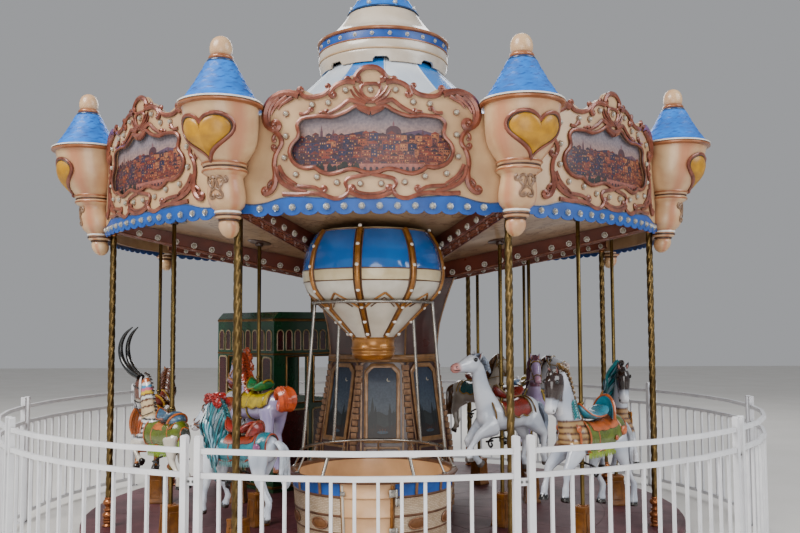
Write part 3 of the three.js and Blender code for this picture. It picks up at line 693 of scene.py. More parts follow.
def scaledCone(profile, rows, count, lift, steps=66, layers=38):
    # A cone of overlapping rounded scales; the paint attribute holds painted shade that darkens the lower
    # edges
    low, high = profile[0][1], profile[-1][1]
    line = [(profileRadius(profile, low + (high - low) * i / layers), low + (high - low) * i / layers)
            for i in range(layers + 1)]
    bm = turned([*line, (0, high + 1)], steps)
    paint = bm.verts.layers.float_color.new("paint")
    light, dark = toLinear("ffffff"), toLinear("5f7fa0")
    for vert in bm.verts:
        rise = (vert.co.z * 1000 - low) / (high - low) * rows
        azimuth = math.atan2(vert.co.x, -vert.co.y) / math.tau * count
        lifted, near = 0, 1
        for row in (math.floor(rise), math.floor(rise) - 1):
            side = (azimuth + 0.5 * (row % 2)) % 1 - 0.5
            edge = row + 0.62 * (2 * abs(side)) ** 2.2
            if rise >= edge:
                lifted = 1 - (rise - edge) / 1.7
                near = rise - edge
                break
        for row in (math.floor(rise), math.floor(rise) + 1):
            side = (azimuth + 0.5 * (row % 2)) % 1 - 0.5
            near = min(near, abs(rise - row - 0.62 * (2 * abs(side)) ** 2.2))
        inside = 0.004 < math.hypot(vert.co.x, vert.co.y) and vert.co.z * 1000 < high - 1
        swell = 1 + (lift / 1000 * lifted / math.hypot(vert.co.x, vert.co.y) if inside else 0)
        vert.co.x *= swell
        vert.co.y *= swell
        # Painted shade along the overlapping scale edges
        shade = max(0, 1 - near / 0.09)
        vert[paint] = [a + (b - a) * shade for a, b in zip(light, dark)]
    return bm


def heartOutline(wide, tall, count=48):
    points = []
    for i in range(count):
        t = math.tau * i / count
        x = 16 * math.sin(t) ** 3
        z = 13 * math.cos(t) - 5 * math.cos(2 * t) - 2 * math.cos(3 * t) - math.cos(4 * t)
        points.append((x / 16 * wide, (z + 2.5) / 14.5 * tall))
    return points


def pillow(outline, bulge, rings=6, base=0):
    # A domed plate from an outline: rings drawn in toward the middle and raised toward -Y
    bm = bmesh.new()
    loops = []
    for k in range(rings):
        inward = 1 - k / rings
        rise = bulge * math.sqrt(1 - inward * inward) + base
        loops.append([
            bm.verts.new((x * inward / 1000, -rise / 1000, z * inward / 1000)) for x, z in outline])
    tip = bm.verts.new((0, -(bulge + base) / 1000, 0))
    edges = [[bm.edges.new(pair) for pair in zip(loop, loop[1:] + loop[:1])] for loop in loops]
    for outer, inner in zip(edges, edges[1:]):
        bmesh.ops.bridge_loops(bm, edges=outer + inner)
    last = loops[-1]
    for a, b in zip(last, last[1:] + last[:1]):
        bm.faces.new((a, b, tip))
    bmesh.ops.recalc_face_normals(bm, faces=bm.faces)
    if sum(face.normal.y for face in bm.faces) > 0:
        bmesh.ops.reverse_faces(bm, faces=bm.faces)
    return bm


def scaleEdgeShade(tree, colour):
    # Multiplies the painted shade of the scale edges into the colour
    paint = addNode(tree, "ShaderNodeAttribute", {"attribute_name": "paint"})
    return blended(tree, 1.0, colour, paint.outputs[0], "MULTIPLY")


# Bright-blue gelcoat moulded in scales, with painted shade darkening it where the edges overlap
scaleGelcoat = finish("scaleGelcoat", {
    "base": "0474d6", "shade": "025cb2", "rough": 0.5, "coat": 0.05, "mottle": 110, "creviceShade": 0.35,
    "creviceShadeColour": "0d4a86", "bump": 0.05}, scaleEdgeShade)

urnStrokes = [
    ([(0, 2692), (12, 2676), (14, 2654), (26, 2640)], 7, 5, None),
    ([(6, 2700), (24, 2712), (44, 2706), (58, 2690)], 6, 6, (-12, 1.0)),
    ([(58, 2690), (48, 2662), (30, 2640), (34, 2618)], 6, 6, None),
    ([(70, 2712), (84, 2700), (80, 2680), (62, 2676)], 7, 5, (-8, 0.8)),
    ([(34, 2618), (48, 2596), (42, 2574), (20, 2572)], 6, 6, (-12, 1.0)),
    ([(0, 2640), (14, 2628), (34, 2622)], 5, 5, None),
]

bodyParts = leaned(charted(turned(turretProfile, 44), 240))
cone = scaledCone(turretCone, turret["scaleRows"], turret["scaleCount"], turret["scaleLift"])
rimWhite = turned([(250, 3212), (276, 3209), (285, 3203), (284, 3196), (272, 3194), (250, 3196)], 44, True)
rimCopper = turned([(250, 3194), (274, 3194), (284, 3187), (283, 3177), (270, 3169), (250, 3166)], 44, True)
egg = turned([
    (60, 3528), (70, 3540), (75, 3560), (76, 3584), (71, 3612), (60, 3636), (43, 3653), (22, 3663),
    (0, 3666)], 32)
collar = turned([
    (60, 3500), (76, 3500), (82, 3506), (84, 3515), (81, 3524), (73, 3530), (60, 3532)], 40, True)
blueRing = turned([(70, 3478), (90, 3478), (94, 3484), (93, 3494), (86, 3500), (70, 3500)], 40, True)
heartShape = heartOutline(turret["heartWide"] - 22, turret["heartTall"] - 18)
heart = pillow(heartShape, turret["heartBulge"], 7, 4)
heartRim = [(x * 1.08, -7, z * 1.09, 13) for x, z in heartShape]
heartLine = [(x, -9, z, 5) for x, z in heartShape]
middle = Matrix.Translation((0, 0, turret["heartHeight"] / 1000))
heartRims = strands([heartRim + [heartRim[0]]], 8, 1.0, 1)
heartEdge = strands([heartLine + [heartLine[0]]], 6, 1.0, 1)
heartParts = [(leaned(wrapped(moved(shape, middle), turretProfile, turret["heartRadius"])), paint)
              for shape, paint in ((heart, heartGelcoat), (heartRims, copperPaint), (heartEdge, darkLine))]
urnWork = scrolls(thickened(urnStrokes, turret["ornament"]), 1, 0.8, 6, 2)
urnWork = leaned(wrapped(urnWork, turretProfile, turret["bodyRadius"]))
neckLines = []
for size, height, material in (
        (153, 2756, copperEdge), (153, 2806, copperEdge), (142, 2781, darkLine), (89, 2492, whiteEnamel),
        (90, 2470, darkLine), (68, 2440, darkLine)):
    line = turned([
        (size - 6, height - 7), (size + 1, height - 6), (size + 3, height), (size + 1, height + 6),
        (size - 6, height + 7)], 32, True)
    neckLines.append((leaned(line), material))
turretMesh = joined([
    (bodyParts, turretGelcoat),
    (cone, scaleGelcoat),
    (rimWhite, whiteEnamel),
    (rimCopper, copperEdge),
    (egg, turretGelcoat),
    (collar, copperEdge),
    (blueRing, navyEnamel),
    (urnWork, urnPaint),
    *heartParts,
    *neckLines,
], 45)
for i in range(bayCount):
    place = outward((i + 0.5) * bayAngle, turret["ring"])
    addPiece(
        f"scaled_turret_{i + 1}", turretMesh, "turntable", [f"turret_{i + 1}"], place)
print("turrets done")


# Roof gores and the crown above them

roof = {
    "topRadius": 520, "top": 4106, "eave": 2424, "thickness": 12, "firstSeam": 3, "goreAngle": 30,
    "steps": 96, "fall": 1.08, "sweep": 0.000252}


def roofHeight(radius):
    run = radius - roof["topRadius"]
    return roof["top"] - roof["fall"] * run + roof["sweep"] * run * run


# Two-tone gelcoat roof panels: glossy, a little chalky in the white
skyGelcoat = finish("skyGelcoat", {
    "base": "2c84d4", "shade": "1c70be", "rough": 0.28, "coat": 0.35, "mottle": 420, "bump": 0.03})
coneGelcoat = finish("coneGelcoat", {
    "base": "0474d6", "shade": "025cb2", "rough": 0.42, "coat": 0.1, "mottle": 150, "creviceShade": 0.4,
    "creviceShadeColour": "0d4a86", "bump": 0.04})
chalkGelcoat = finish("chalkGelcoat", {
    "base": "d2d8df", "shade": "bcc6d2", "rough": 0.3, "coat": 0.4, "mottle": 380, "bump": 0.03})
radii = [roof["topRadius"] + (roof["eave"] - roof["topRadius"]) * (i / 18) ** 1.15 for i in range(19)]
upper = [(r, roofHeight(r)) for r in radii]
lower = [(r, roofHeight(r) - roof["thickness"]) for r in reversed(radii)]
gores = moved(
    turned(upper + lower, roof["steps"], True),
    Matrix.Rotation(math.radians(roof["firstSeam"] - 90), 4, "Z"))
for face in gores.faces:
    middle = face.calc_center_median()
    azimuth = math.degrees(math.atan2(middle.x, -middle.y)) - roof["firstSeam"]
    face.material_index = int(azimuth % 360 // roof["goreAngle"]) % 2
seams = []
for k in range(12):
    turn = math.radians(roof["firstSeam"] + k * roof["goreAngle"])
    seams.append([(r * math.sin(turn), -r * math.cos(turn), roofHeight(r), 7) for r in radii])
eaveBead = turned([(2400, 2948), (2426, 2950), (2426, 2926), (2400, 2930)], 96, True)
roofMesh = joined([
    (gores, [chalkGelcoat, skyGelcoat]),
    (strands(seams, 6, 1.0, 1), chalkGelcoat),
    (eaveBead, chalkGelcoat),
], 50)
addPiece("roof_gores", roofMesh, "turntable", ["roof_canopy"])

crown = {
    "skirtRadius": 583, "notchHalf": 64, "bandRadius": 604, "bandHeight": 4305, "bandLamps": 24,
    "ribCount": 8, "ribLamps": [4700, 4800, 4905, 5010, 5105]}
skirtStep = math.tau * crown["skirtRadius"] / bayCount / 2
notch = [
    (-skirtStep, 4062), (-crown["notchHalf"] - 14, 4062), (-crown["notchHalf"] - 8, 4084),
    (-crown["notchHalf"] + 12, 4103), (crown["notchHalf"] - 12, 4103), (crown["notchHalf"] + 8, 4084),
    (crown["notchHalf"] + 14, 4062), (skirtStep, 4062), (skirtStep, 4122), (-skirtStep, 4122)]
skirt = []
for i in range(bayCount):
    part = bend(slab(notch, -12, 8, 24), crown["skirtRadius"])
    for vert in part.verts:
        grow = 1 + 0.18 * (vert.co.z - 4.122) / 0.583
        vert.co.x *= grow
        vert.co.y *= grow
    skirt.append((moved(part, outward(i * bayAngle)), crownGelcoat))
drum = turned([
    (560, 4116), (595, 4118), (597, 4130), (601, 4150), (602, 4165), (598, 4174), (601, 4182),
    (606, 4200), (607, 4240), (604, 4258), (560, 4262)], 72, True)
edgeLine = turned([(590, 4256), (611, 4258), (612, 4266), (606, 4270), (590, 4270)], 72, True)
blueBand = turned([(580, 4266), (603, 4268), (605, 4300), (603, 4342), (580, 4344)], 72, True)
lip = turned([
    (560, 4338), (608, 4340), (620, 4348), (623, 4360), (618, 4370), (604, 4377), (560, 4380)], 72, True)
bell = turned([
    (540, 4372), (604, 4375), (588, 4384), (556, 4402), (520, 4424), (488, 4448), (458, 4476),
    (430, 4508), (402, 4542), (376, 4578), (352, 4614), (334, 4646), (300, 4650)], 72, True)
bandLamp, bandGlass = lampShape(19, 13, 8)
bandSpots = [
    outward(360 * (i + 0.5) / crown["bandLamps"], crown["bandRadius"], crown["bandHeight"]) for i in range(
        crown["bandLamps"])]
mouldingRing = turned([(585, 4168), (607, 4171), (609, 4177), (606, 4183), (585, 4184)], 72, True)
drumMesh = joined([
    *skirt,
    (drum, crownGelcoat),
    (mouldingRing, creamGelcoat),
    (edgeLine, copperEdge),
    (blueBand, valanceEnamel),
    (lip, copperEdge),
    (bell, crownGelcoat),
    (scattered(bandLamp, bandSpots), whiteEnamel),
    (scattered(bandGlass, bandSpots), lampGlass),
])
addPiece("crown_bell", drumMesh, "turntable", ["crown_drum"])

spireProfile = [
    (300, 4651), (334, 4652), (337, 4658), (326, 4676), (300, 4708), (270, 4750), (242, 4792),
    (214, 4838), (190, 4880), (168, 4920), (150, 4966), (134, 5014), (122, 5062), (112, 5104),
    (104, 5112)]
spireEdge = turned([(320, 4651), (339, 4652), (342, 4661), (337, 4669), (320, 4670)], 64, True)
finial = turned([
    (90, 5108), (104, 5112), (108, 5120), (104, 5130), (92, 5136), (94, 5150), (100, 5176), (99, 5210),
    (88, 5250), (66, 5286), (36, 5310), (0, 5322)], 40)
finialRing = turned([(90, 5104), (112, 5106), (116, 5114), (112, 5124), (90, 5126)], 48, True)
ribs, spots = [], []
for k in range(crown["ribCount"]):
    turn = math.radians((k + 0.5) * 45)
    ribs.append([(r * math.sin(turn), -r * math.cos(turn), z, 9) for r, z in spireProfile[2:-1]])
    for height in crown["ribLamps"]:
        spots.append(outward((k + 0.5) * 45, profileRadius(spireProfile[2:], height) + 6, height, 50))
spireLamp, spireGlass = lampShape(24, 19, 8)
spireMesh = joined([
    (turned(spireProfile, 64), coneGelcoat),
    (strands(ribs, 6, 1.0, 1), skyGelcoat),
    (spireEdge, navyEnamel),
    (finial, crownGelcoat),
    (finialRing, copperEdge),
    (scattered(spireLamp, spots), whiteEnamel),
    (scattered(spireGlass, spots), lampGlass),
], 50)
addPiece("crown_cone", spireMesh, "turntable", ["crown_spire"])
print("roof and crown done")


# Ceiling, beams with carved undersides and lamps, and the rosettes round the poles

canopy = {
    "headRadius": 600, "ceilingLow": 2300, "ceilingRise": 0.175, "beamLow": 2165, "beamRise": 0.201,
    "lampStep": 150, "lampFirst": 700, "lampLast": 2380}
# Height is that of the torso's middle, size a factor, reach how far the figure sits forward of its pole,
# and turned its heading off the ring in degrees
riders = {
    "inner_horse_1": {"ring": 1350, "azimuth": 47, "legs": "gallop", "head": "level",
        "height": 1000, "size": 1.14, "reach": -50, "turned": -5},
    "inner_horse_2": {"ring": 1350, "azimuth": 92, "legs": "prance", "head": "tucked",
        "height": 1060, "size": 1, "reach": 0, "turned": 0},
    "inner_horse_3": {"ring": 1350, "azimuth": 136, "legs": "gallop", "head": "tucked",
        "height": 1040, "size": 1, "reach": 0, "turned": 0},
    "inner_horse_4": {"ring": 1350, "azimuth": 180, "legs": "prance", "head": "tucked",
        "height": 1000, "size": 1, "reach": 0, "turned": 0},
    "inner_horse_5": {"ring": 1350, "azimuth": -92, "legs": "gallop", "head": "tucked",
        "height": 1030, "size": 1, "reach": 0, "turned": 0},
    "inner_horse_6": {"ring": 1350, "azimuth": -48, "legs": "prance", "head": "tucked",
        "height": 1080, "size": 1.06, "reach": 0, "turned": 0},
    "outer_horse_1": {"ring": 2100, "azimuth": 47, "legs": "canter", "head": "bowed",
        "height": 880, "size": 1.18, "reach": -95, "turned": -6},
    "outer_horse_2": {"ring": 2100, "azimuth": 88, "legs": "gallop", "head": "bowed",
        "height": 865, "size": 1.15, "reach": 0, "turned": 0},
    "outer_horse_3": {"ring": 2100, "azimuth": 135, "legs": "prance", "head": "level",
        "height": 930, "size": 1.08, "reach": 0, "turned": 0},
    "outer_horse_4": {"ring": 2100, "azimuth": 180, "legs": "gallop", "head": "level",
        "height": 900, "size": 1.08, "reach": 0, "turned": 0},
    "outer_horse_5": {"ring": 2100, "azimuth": -27.5, "legs": "trot", "head": "lowered",
        "height": 860, "size": 1, "reach": 0, "turned": 0},
    "outer_horse_6": {"ring": 2100, "azimuth": -91, "legs": "gallop", "head": "tucked",
        "height": 900, "size": 1.08, "reach": 0, "turned": 0},
    "antelope": {"ring": 2100, "azimuth": -49, "legs": "leap", "head": "arched",
        "height": 900, "size": 0.92, "reach": 125, "turned": 8},
}


def ceilingHeight(radius):
    return canopy["ceilingLow"] + canopy["ceilingRise"] * (radius - canopy["headRadius"])


def beamHeight(radius):
    return canopy["beamLow"] + canopy["beamRise"] * (radius - canopy["headRadius"])


def branches(tree, colour):
    # Brown branches painted by hand: thin contours of a slow noise, fading into blotches
    place = addNode(tree, "ShaderNodeTexCoord", {}).outputs["Object"]
    bent = addNode(tree, "ShaderNodeTexNoise", {
        "Scale": perMetre(420), "Detail": 5.0, "Roughness": 0.55, "Vector": place})
    line = within(tree, bent.outputs[0], 0.49, 0.505, 0.008)
    second = within(tree, bent.outputs[0], 0.59, 0.6, 0.006)
    drawn = addNode(tree, "ShaderNodeMath", {"operation": "ADD", 0: line, 1: second, "use_clamp": True})
    return blended(tree, drawn.outputs[0], colour, "6b4a34")


# Cream gelcoat ceiling with sprayed branches; red-brown gloss paint on the beams
ceilingPaint = finish("ceilingPaint", {
    "base": "aa8c6c", "shade": "8c7054", "rough": 0.4, "coat": 0.2, "mottle": 300, "creviceShade": 0.6,
    "creviceShadeColour": "4a3526", "reach": 120, "bump": 0.04}, branches)
beamPaint = finish("beamPaint", {
    "base": "6b3426", "shade": "54261b", "rough": 0.32, "coat": 0.3, "mottle": 200, "creviceShade": 0.5,
    "creviceShadeColour": "200d08", "bump": 0.05})
carvedRed = finish("carvedRed", {
    "base": "5d2f22", "shade": "7d4630", "rough": 0.36, "coat": 0.3, "metal": 0.1, "mottle": 30,
    "creviceShade": 0.95, "creviceShadeColour": "170804", "reach": 24, "bump": 0.15})
lampWhite = finish("lampWhite", {
    "base": "efebe4", "shade": "dcd6cc", "rough": 0.3, "coat": 0.4, "mottle": 30, "creviceShade": 0.4,
    "creviceShadeColour": "8c7f70", "bump": 0.03})
rosettePaint = finish("rosettePaint", {
    "base": "4a2f24", "shade": "38231a", "rough": 0.35, "coat": 0.3, "mottle": 50, "creviceShade": 0.7,
    "creviceShadeColour": "140b07", "bump": 0.1})
dress(ceilingPaint, "ceiling")
dress(beamPaint, "canopy_frame")

leafRun = []
for k in range(11):
    r = 700 + k * 155
    leafRun += [
        ([(0, r), (26, r + 30), (38, r + 78), (20, r + 120)], 13, 6, (14, 0.9)),
        ([(0, r + 20), (8, r + 60), (6, r + 105), (0, r + 150)], 11, 8, None),
        ([(12, r + 40), (34, r + 52), (50, r + 84)], 10, 4, None),
        ([(10, r + 84), (28, r + 98), (44, r + 130)], 9, 4, None),
    ]
carving = scrolls(leafRun, 3, 0.9, 6, 1)
for vert in carving.verts:
    x, y, z = vert.co
    vert.co = (x, -z, beamHeight(z * 1000) / 1000 + y)
edgeStrips = []
for side in (-1, 1):
    edgeStrips.append([(side * 58, -r, beamHeight(r) - 3, 8) for r in (610, 1200, 1800, 2424)])
beamLamp, beamGlass = lampShape(27, 19, 7)
lampMatrices = []
for side in (-1, 1):
    count = int((canopy["lampLast"] - canopy["lampFirst"]) / canopy["lampStep"])
    for k in range(count + 1):
        r = canopy["lampFirst"] + k * canopy["lampStep"]
        facing = Matrix.Rotation(math.radians(90 * side), 4, "Z")
        shift = Matrix.Translation((side * 0.06, -r / 1000, (beamHeight(r) + 26) / 1000))
        lampMatrices.append(shift @ facing)
beamMesh = joined([
    (carving, carvedRed),
    (strands(edgeStrips, 6, 1.0, 1), carvedRed),
    (scattered(beamLamp, lampMatrices), lampWhite),
    (scattered(beamGlass, lampMatrices), lampGlass),
])
for i in range(bayCount):
    addPiece(
        f"beam_carving_{i + 1}", beamMesh, "turntable", (), outward((i + 0.5) * bayAngle))

rosette = turned([
    (24, -34), (30, -33), (34, -26), (34, -12), (44, -9), (70, -8), (92, -6), (100, -2), (100, 1),
    (24, 1)], 28, True)
slope = Matrix.Rotation(math.atan(canopy["ceilingRise"]), 4, "X")
rosetteSpots = []
for rider in riders.values():
    height = ceilingHeight(rider["ring"])
    rosetteSpots.append(outward(rider["azimuth"], rider["ring"], height) @ slope.inverted())
addPiece(
    "pole_rosettes", joined([(scattered(rosette, rosetteSpots), rosettePaint)]), "turntable")
print("ceiling and beams done")


# Centre cladding: eight framed night pictures between quoin columns, and the flare up to the canopy head

cladding = {
    "profile": [
        (650, 120.4), (662, 190), (660, 230), (650, 700), (560, 1150), (515, 1440), (515, 1470),
        (545, 1750), (625, 2000), (690, 2164)], "pictureLow": 780, "pictureHigh": 1372,
    "pictureHalf": 122, "chamfer": 46, "quoinStep": 52}

# Maroon gelcoat with cream-gold painted mouldings
maroonGelcoat = finish("maroonGelcoat", {
    "base": "4c211b", "shade": "391713", "rough": 0.3, "coat": 0.4, "mottle": 220, "creviceShade": 0.6,
    "creviceShadeColour": "1c0d0a", "bump": 0.05})
goldFrame = finish("goldFrame", {
    "base": "986f44", "shade": "785632", "rough": 0.34, "coat": 0.3, "metal": 0.15, "mottle": 60,
    "creviceShade": 0.7, "creviceShadeColour": "4a3220", "bump": 0.1})
quoinStone = finish("quoinStone", {
    "base": "a07a58", "shade": "7c5a41", "rough": 0.55, "mottle": 30, "creviceShade": 0.8,
    "creviceShadeColour": "3a2418", "bump": 0.35, "grain": 5})


def nightPicture():
    # A made-up night garden: moon, hills and cypresses on a blue-grey sky
    bm, patch = flatPicture()
    half = cladding["pictureHalf"] + 6
    skies = ["6f8193", "62788f", "566f8a", "4a6382", "3e5676"]
    for i in range(4):
        z = 1020 + i * 90
        patch([(-half, z), (half, z), (half, z + 90), (-half, z + 90)], 0, skies[i], skies[i + 1])
    patch([(-half, 770), (half, 770), (half, 1020), (-half, 1020)], 0, "3b4452", "6f8193")
    moon = arc(54, 1268, 17, 17, range(0, 360, 20))
    patch(moon, 1, "d9dccf")
    shadow = arc(61, 1274, 15, 15, range(0, 360, 20))
    patch(shadow, 1.6, "4a6382")
    hill = [(-half, 940), (-90, 985), (-30, 1002), (40, 968), (90, 990), (half, 1010)]
    patch([(-half, 770), (half, 770), *reversed(hill)], 2, "3f4a4e", "566870")
    near = [(-half, 880), (-60, 902), (20, 868), (half, 906)]
    patch([(-half, 770), (half, 770), *reversed(near)], 3, "4a3a34", "5d4a40")
    for x, base, tall in (
            (-84, 880, 250), (-58, 872, 180), (-104, 876, 140), (66, 872, 200), (98, 884, 130)):
        trunk = [
            (x - 5, base - 20), (x + 5, base - 20), (x + 15, base + tall * 0.3),
            (x + 12, base + tall * 0.65), (x, base + tall), (x - 12, base + tall * 0.65),
            (x - 15, base + tall * 0.3)]
        patch(trunk, 4 + x * 0.002, "243238", "3c5560")
    pond = arc(5, 828, 48, 13, range(0, 360, 20))
    patch(pond, 5, "5f7f95", "8aa6b8")
    for x in (-20, 2, 24):
        patch([(x, 828), (x + 5, 828), (x + 4, 856), (x + 1, 856)], 6, "8a5a50", "b07a66")
    facingFront(bm)
    return bm


def onFace(bm, outset=0):
    # Lays a flat piece on one sloping face of the octagon
    for height in (700, 900, 1150, 1300, 1440):
        cutAt(bm, (0, 0, height / 1000), (0, 0, 1))
    apothem = math.cos(math.radians(22.5))
    for vert in bm.verts:
        reach = profileRadius(cladding["profile"], vert.co.z * 1000) * apothem + outset
        vert.co.y -= reach / 1000
    return bm


def framed(half, low, high, chamfer):
    return [
        (-half, low), (half, low), (half, high - chamfer), (half - chamfer, high), (chamfer - half, high),
        (-half, high - chamfer)]


half, low, high, chamfer = (cladding[k] for k in ("pictureHalf", "pictureLow", "pictureHigh", "chamfer"))
frameInner = framed(half, low, high, chamfer)
frameOuter = framed(half + 34, low - 40, high + 38, chamfer + 14)
moulding = softened(slab(frameOuter, -14, 0, 0, [frameInner]), 4, 2)
outerPanel = softened(
    slab(framed(half + 66, 330, high + 56, 20), -6, 0, 0, [framed(half + 50, 350, high + 46, 24)]), 2)
skirtPanel = softened(
    slab(framed(half + 34, 380, low - 70, 8), -8, 0, 0, [framed(half + 16, 400, low - 90, 8)]), 3)
quoins = []
blockShape = bmesh.new()
bmesh.ops.create_cube(blockShape, size=1)
for k in range(24):
    height = 150 + k * cladding["quoinStep"]
    wide = 66 if k % 2 else 50
    reach = profileRadius(cladding["profile"], height + 24) - 12
    size = Matrix.Diagonal((wide / 1000, 0.045, 0.046, 1))
    quoins.append(outward(22.5, reach, height + 26) @ size)
blocks = softened(scattered(blockShape, quoins), 5, 2)
cornerLine = [[(r * math.sin(math.radians(22.5)), -r * math.cos(math.radians(22.5)), z, 9) for r, z in
               [(515, 1480), (545, 1750), (625, 2000), (688, 2160)]]]
faceParts = [
    (onFace(nightPicture(), 1), printedPanel),
    (onFace(moulding), goldFrame),
    (onFace(outerPanel), goldFrame),
    (onFace(skirtPanel), goldFrame),
    (blocks, quoinStone),
    (strands(cornerLine, 6, 1.0, 3), goldFrame),
]
core = moved(
    turned([(0, 120.4), *cladding["profile"], (0, 2164)], 8),
    Matrix.Rotation(math.radians(-90 + 22.5), 4, "Z"))
waist = moved(
    turned([
        (480, 1418), (536, 1420), (542, 1432), (530, 1446), (538, 1466), (528, 1484), (480, 1486)], 8,
    True), Matrix.Rotation(math.radians(-90 + 22.5), 4, "Z"))
faceMesh = joined(faceParts, 30)
coreMesh = joined([(softened(core, 10, 2, 20), maroonGelcoat), (softened(waist, 2), goldFrame)], 30)
addPiece("centre_core", coreMesh, "turntable", ["centre_cladding"])
for i in range(bayCount):
    addPiece(f"centre_panel_{i + 1}", faceMesh, "turntable", (), outward(i * bayAngle))
print("centre done")


# Balloon car: basket, door, steel tubes and envelope, modelled about the car's own axis

car = {
    "ring": 1400, "azimuth": -1.5, "doorHalf": 18.5, "gap": 0.5, "hoopRadius": 457, "hoopHeight": 1910,
    "handrailRadius": 545, "handrailHeight": 800, "handrailEnd": 31, "tube": 12.5, "baluster": 8,
    "balusterRing": 607, "rim": 668, "ribFirst": -8, "ribCount": 8, "skinLow": 1655,
    "skinHigh": 2440, "zigzagLow": 1868, "zigzagRise": 104,
    "ribLamps": [2460, 2320, 2170, 1990, 1870, 1765, 1672]}
carPlace = outward(car["azimuth"], car["ring"])


def wickerWeave(tree, colour):
    # Cream wicker moulded in the wall: short strands, over and under, 32 mm by 12 mm
    across, height = chart(tree)
    place = addNode(tree, "ShaderNodeCombineXYZ", {0: across, 1: height})
    weave = addNode(tree, "ShaderNodeTexBrick", {
        "offset": 0.5, "squash": 1.0, "Vector": place.outputs[0], "Color1": "cdbba3", "Color2": "b39c80",
        "Mortar": "6b5038", "Scale": 1.0, "Mortar Size": 0.0016, "Mortar Smooth": 0.6,
        "Brick Width": 0.032, "Row Height": 0.012})
    return blended(tree, 0.7, colour, weave.outputs[0])


# Peach gelcoat inside the basket and on the door; moulded wicker; tan painted cartouches
peachGelcoat = finish("peachGelcoat", {
    "base": "deb080", "shade": "c89a6c", "rough": 0.32, "coat": 0.4, "mottle": 200, "creviceShade": 0.5,
    "creviceShadeColour": "7c583a", "bump": 0.04})
wickerGelcoat = finish("wickerGelcoat", {
    "base": "cfb390", "shade": "b39670", "rough": 0.45, "coat": 0.2, "mottle": 60, "creviceShade": 0.7,
    "creviceShadeColour": "5b4330", "bump": 0.3, "grain": 9}, wickerWeave)
rimPaint = finish("rimPaint", {
    "base": "6e4a32", "shade": "573823", "rough": 0.35, "coat": 0.3, "mottle": 80, "creviceShade": 0.6,
    "creviceShadeColour": "24150c", "bump": 0.1})
strapPaint = finish("strapPaint", {
    "base": "8c5f38", "shade": "6f4727", "rough": 0.35, "coat": 0.3, "mottle": 60, "creviceShade": 0.6,
    "creviceShadeColour": "2b190c", "bump": 0.1})
ropePaint = finish("ropePaint", {
    "base": "a3744f", "shade": "7d5236", "rough": 0.4, "coat": 0.2, "mottle": 25, "creviceShade": 0.8,
    "creviceShadeColour": "2e1a0e", "bump": 0.25})
bronzeGold = finish("bronzeGold", {
    "base": "a8712f", "shade": "8a571f", "rough": 0.3, "coat": 0.3, "metal": 0.45, "mottle": 60,
    "creviceShade": 0.6, "creviceShadeColour": "33200b", "bump": 0.08})
royalGelcoat = finish("royalGelcoat", {
    "base": "1a6cc0", "shade": "1259a6", "rough": 0.12, "coat": 0.9, "mottle": 260, "creviceShade": 0.4,
    "creviceShadeColour": "082c55", "bump": 0.03})
ivoryGelcoat = finish("ivoryGelcoat", {
    "base": "d8d2c4", "shade": "c2baaa", "rough": 0.2, "coat": 0.7, "mottle": 200, "creviceShade": 0.5,
    "creviceShadeColour": "6b5a45", "bump": 0.04})
balloonCream = finish("balloonCream", {
    "base": "e0cfa6", "shade": "cdb98c", "rough": 0.22, "coat": 0.6, "mottle": 160, "creviceShade": 0.5,
    "creviceShadeColour": "6d5230", "bump": 0.04})
# Satin stainless tube: brushed round the tube, greyish in the room
stainlessTube = finish("stainlessTube", {
    "base": "b4b0a8", "shade": "94908a", "rough": 0.28, "metal": 1.0, "mottle": 90, "grain": 3,
    "bump": 0.06})

basketOuter = [
    (566, 121), (571, 200), (577, 286), (582, 288), (583, 294), (580, 300), (589, 405), (594, 408),
    (596, 416), (592, 424), (601, 536), (606, 540), (608, 548), (604, 556), (613, 640), (618, 641)]
basketRim = [
    (613, 641), (632, 643), (638, 650), (638, 660), (630, 667), (600, 668), (588, 664), (584, 654),
    (586, 641)]
basketInner = [(586, 645), (540, 150), (0, 146)]
bands = [
    ("wicker", 121, 288), ("line", 288, 300), ("cartouche", 300, 405), ("line", 405, 424),
    ("wicker", 424, 536), ("line", 536, 556), ("blue", 556, 660)]


def wedgeKept(bm, halfAngle, inside):
    # Keeps the part of a turned shell inside the door wedge, or the rest
    half = math.radians(halfAngle)
    for side in (-1, 1):
        cutAt(bm, (0, 0, 0), (math.cos(half) * side, math.sin(half), 0))
    doomed = []
    for face in bm.faces:
        middle = face.calc_center_median()
        isInside = middle.y < 0 and abs(math.atan2(middle.x, -middle.y)) < half and middle.z > 0.158
        if isInside != inside:
            doomed.append(face)
    bmesh.ops.delete(bm, geom=doomed, context="FACES")
    return bm


def basketShell():
    bm = turned([(0, 121), *basketOuter, *basketRim[1:], *basketInner], 96)
    cutAt(bm, (0, 0, 0.16), (0, 0, 1))
    for face in bm.faces:
        middle = face.calc_center_median()
        height = middle.z * 1000
        reach = math.hypot(middle.x, middle.y) * 1000
        isOuter = face.normal.x * middle.x + face.normal.y * middle.y > 0
        if height > 641:
            face.material_index = 4
        elif isOuter and reach > 550:
            kind = next((k for k, low, high in bands if low <= height <= high), "wicker")
            face.material_index = {"wicker": 0, "line": 1, "cartouche": 0, "blue": 2}[kind]
        else:
            face.material_index = 3
    return bm


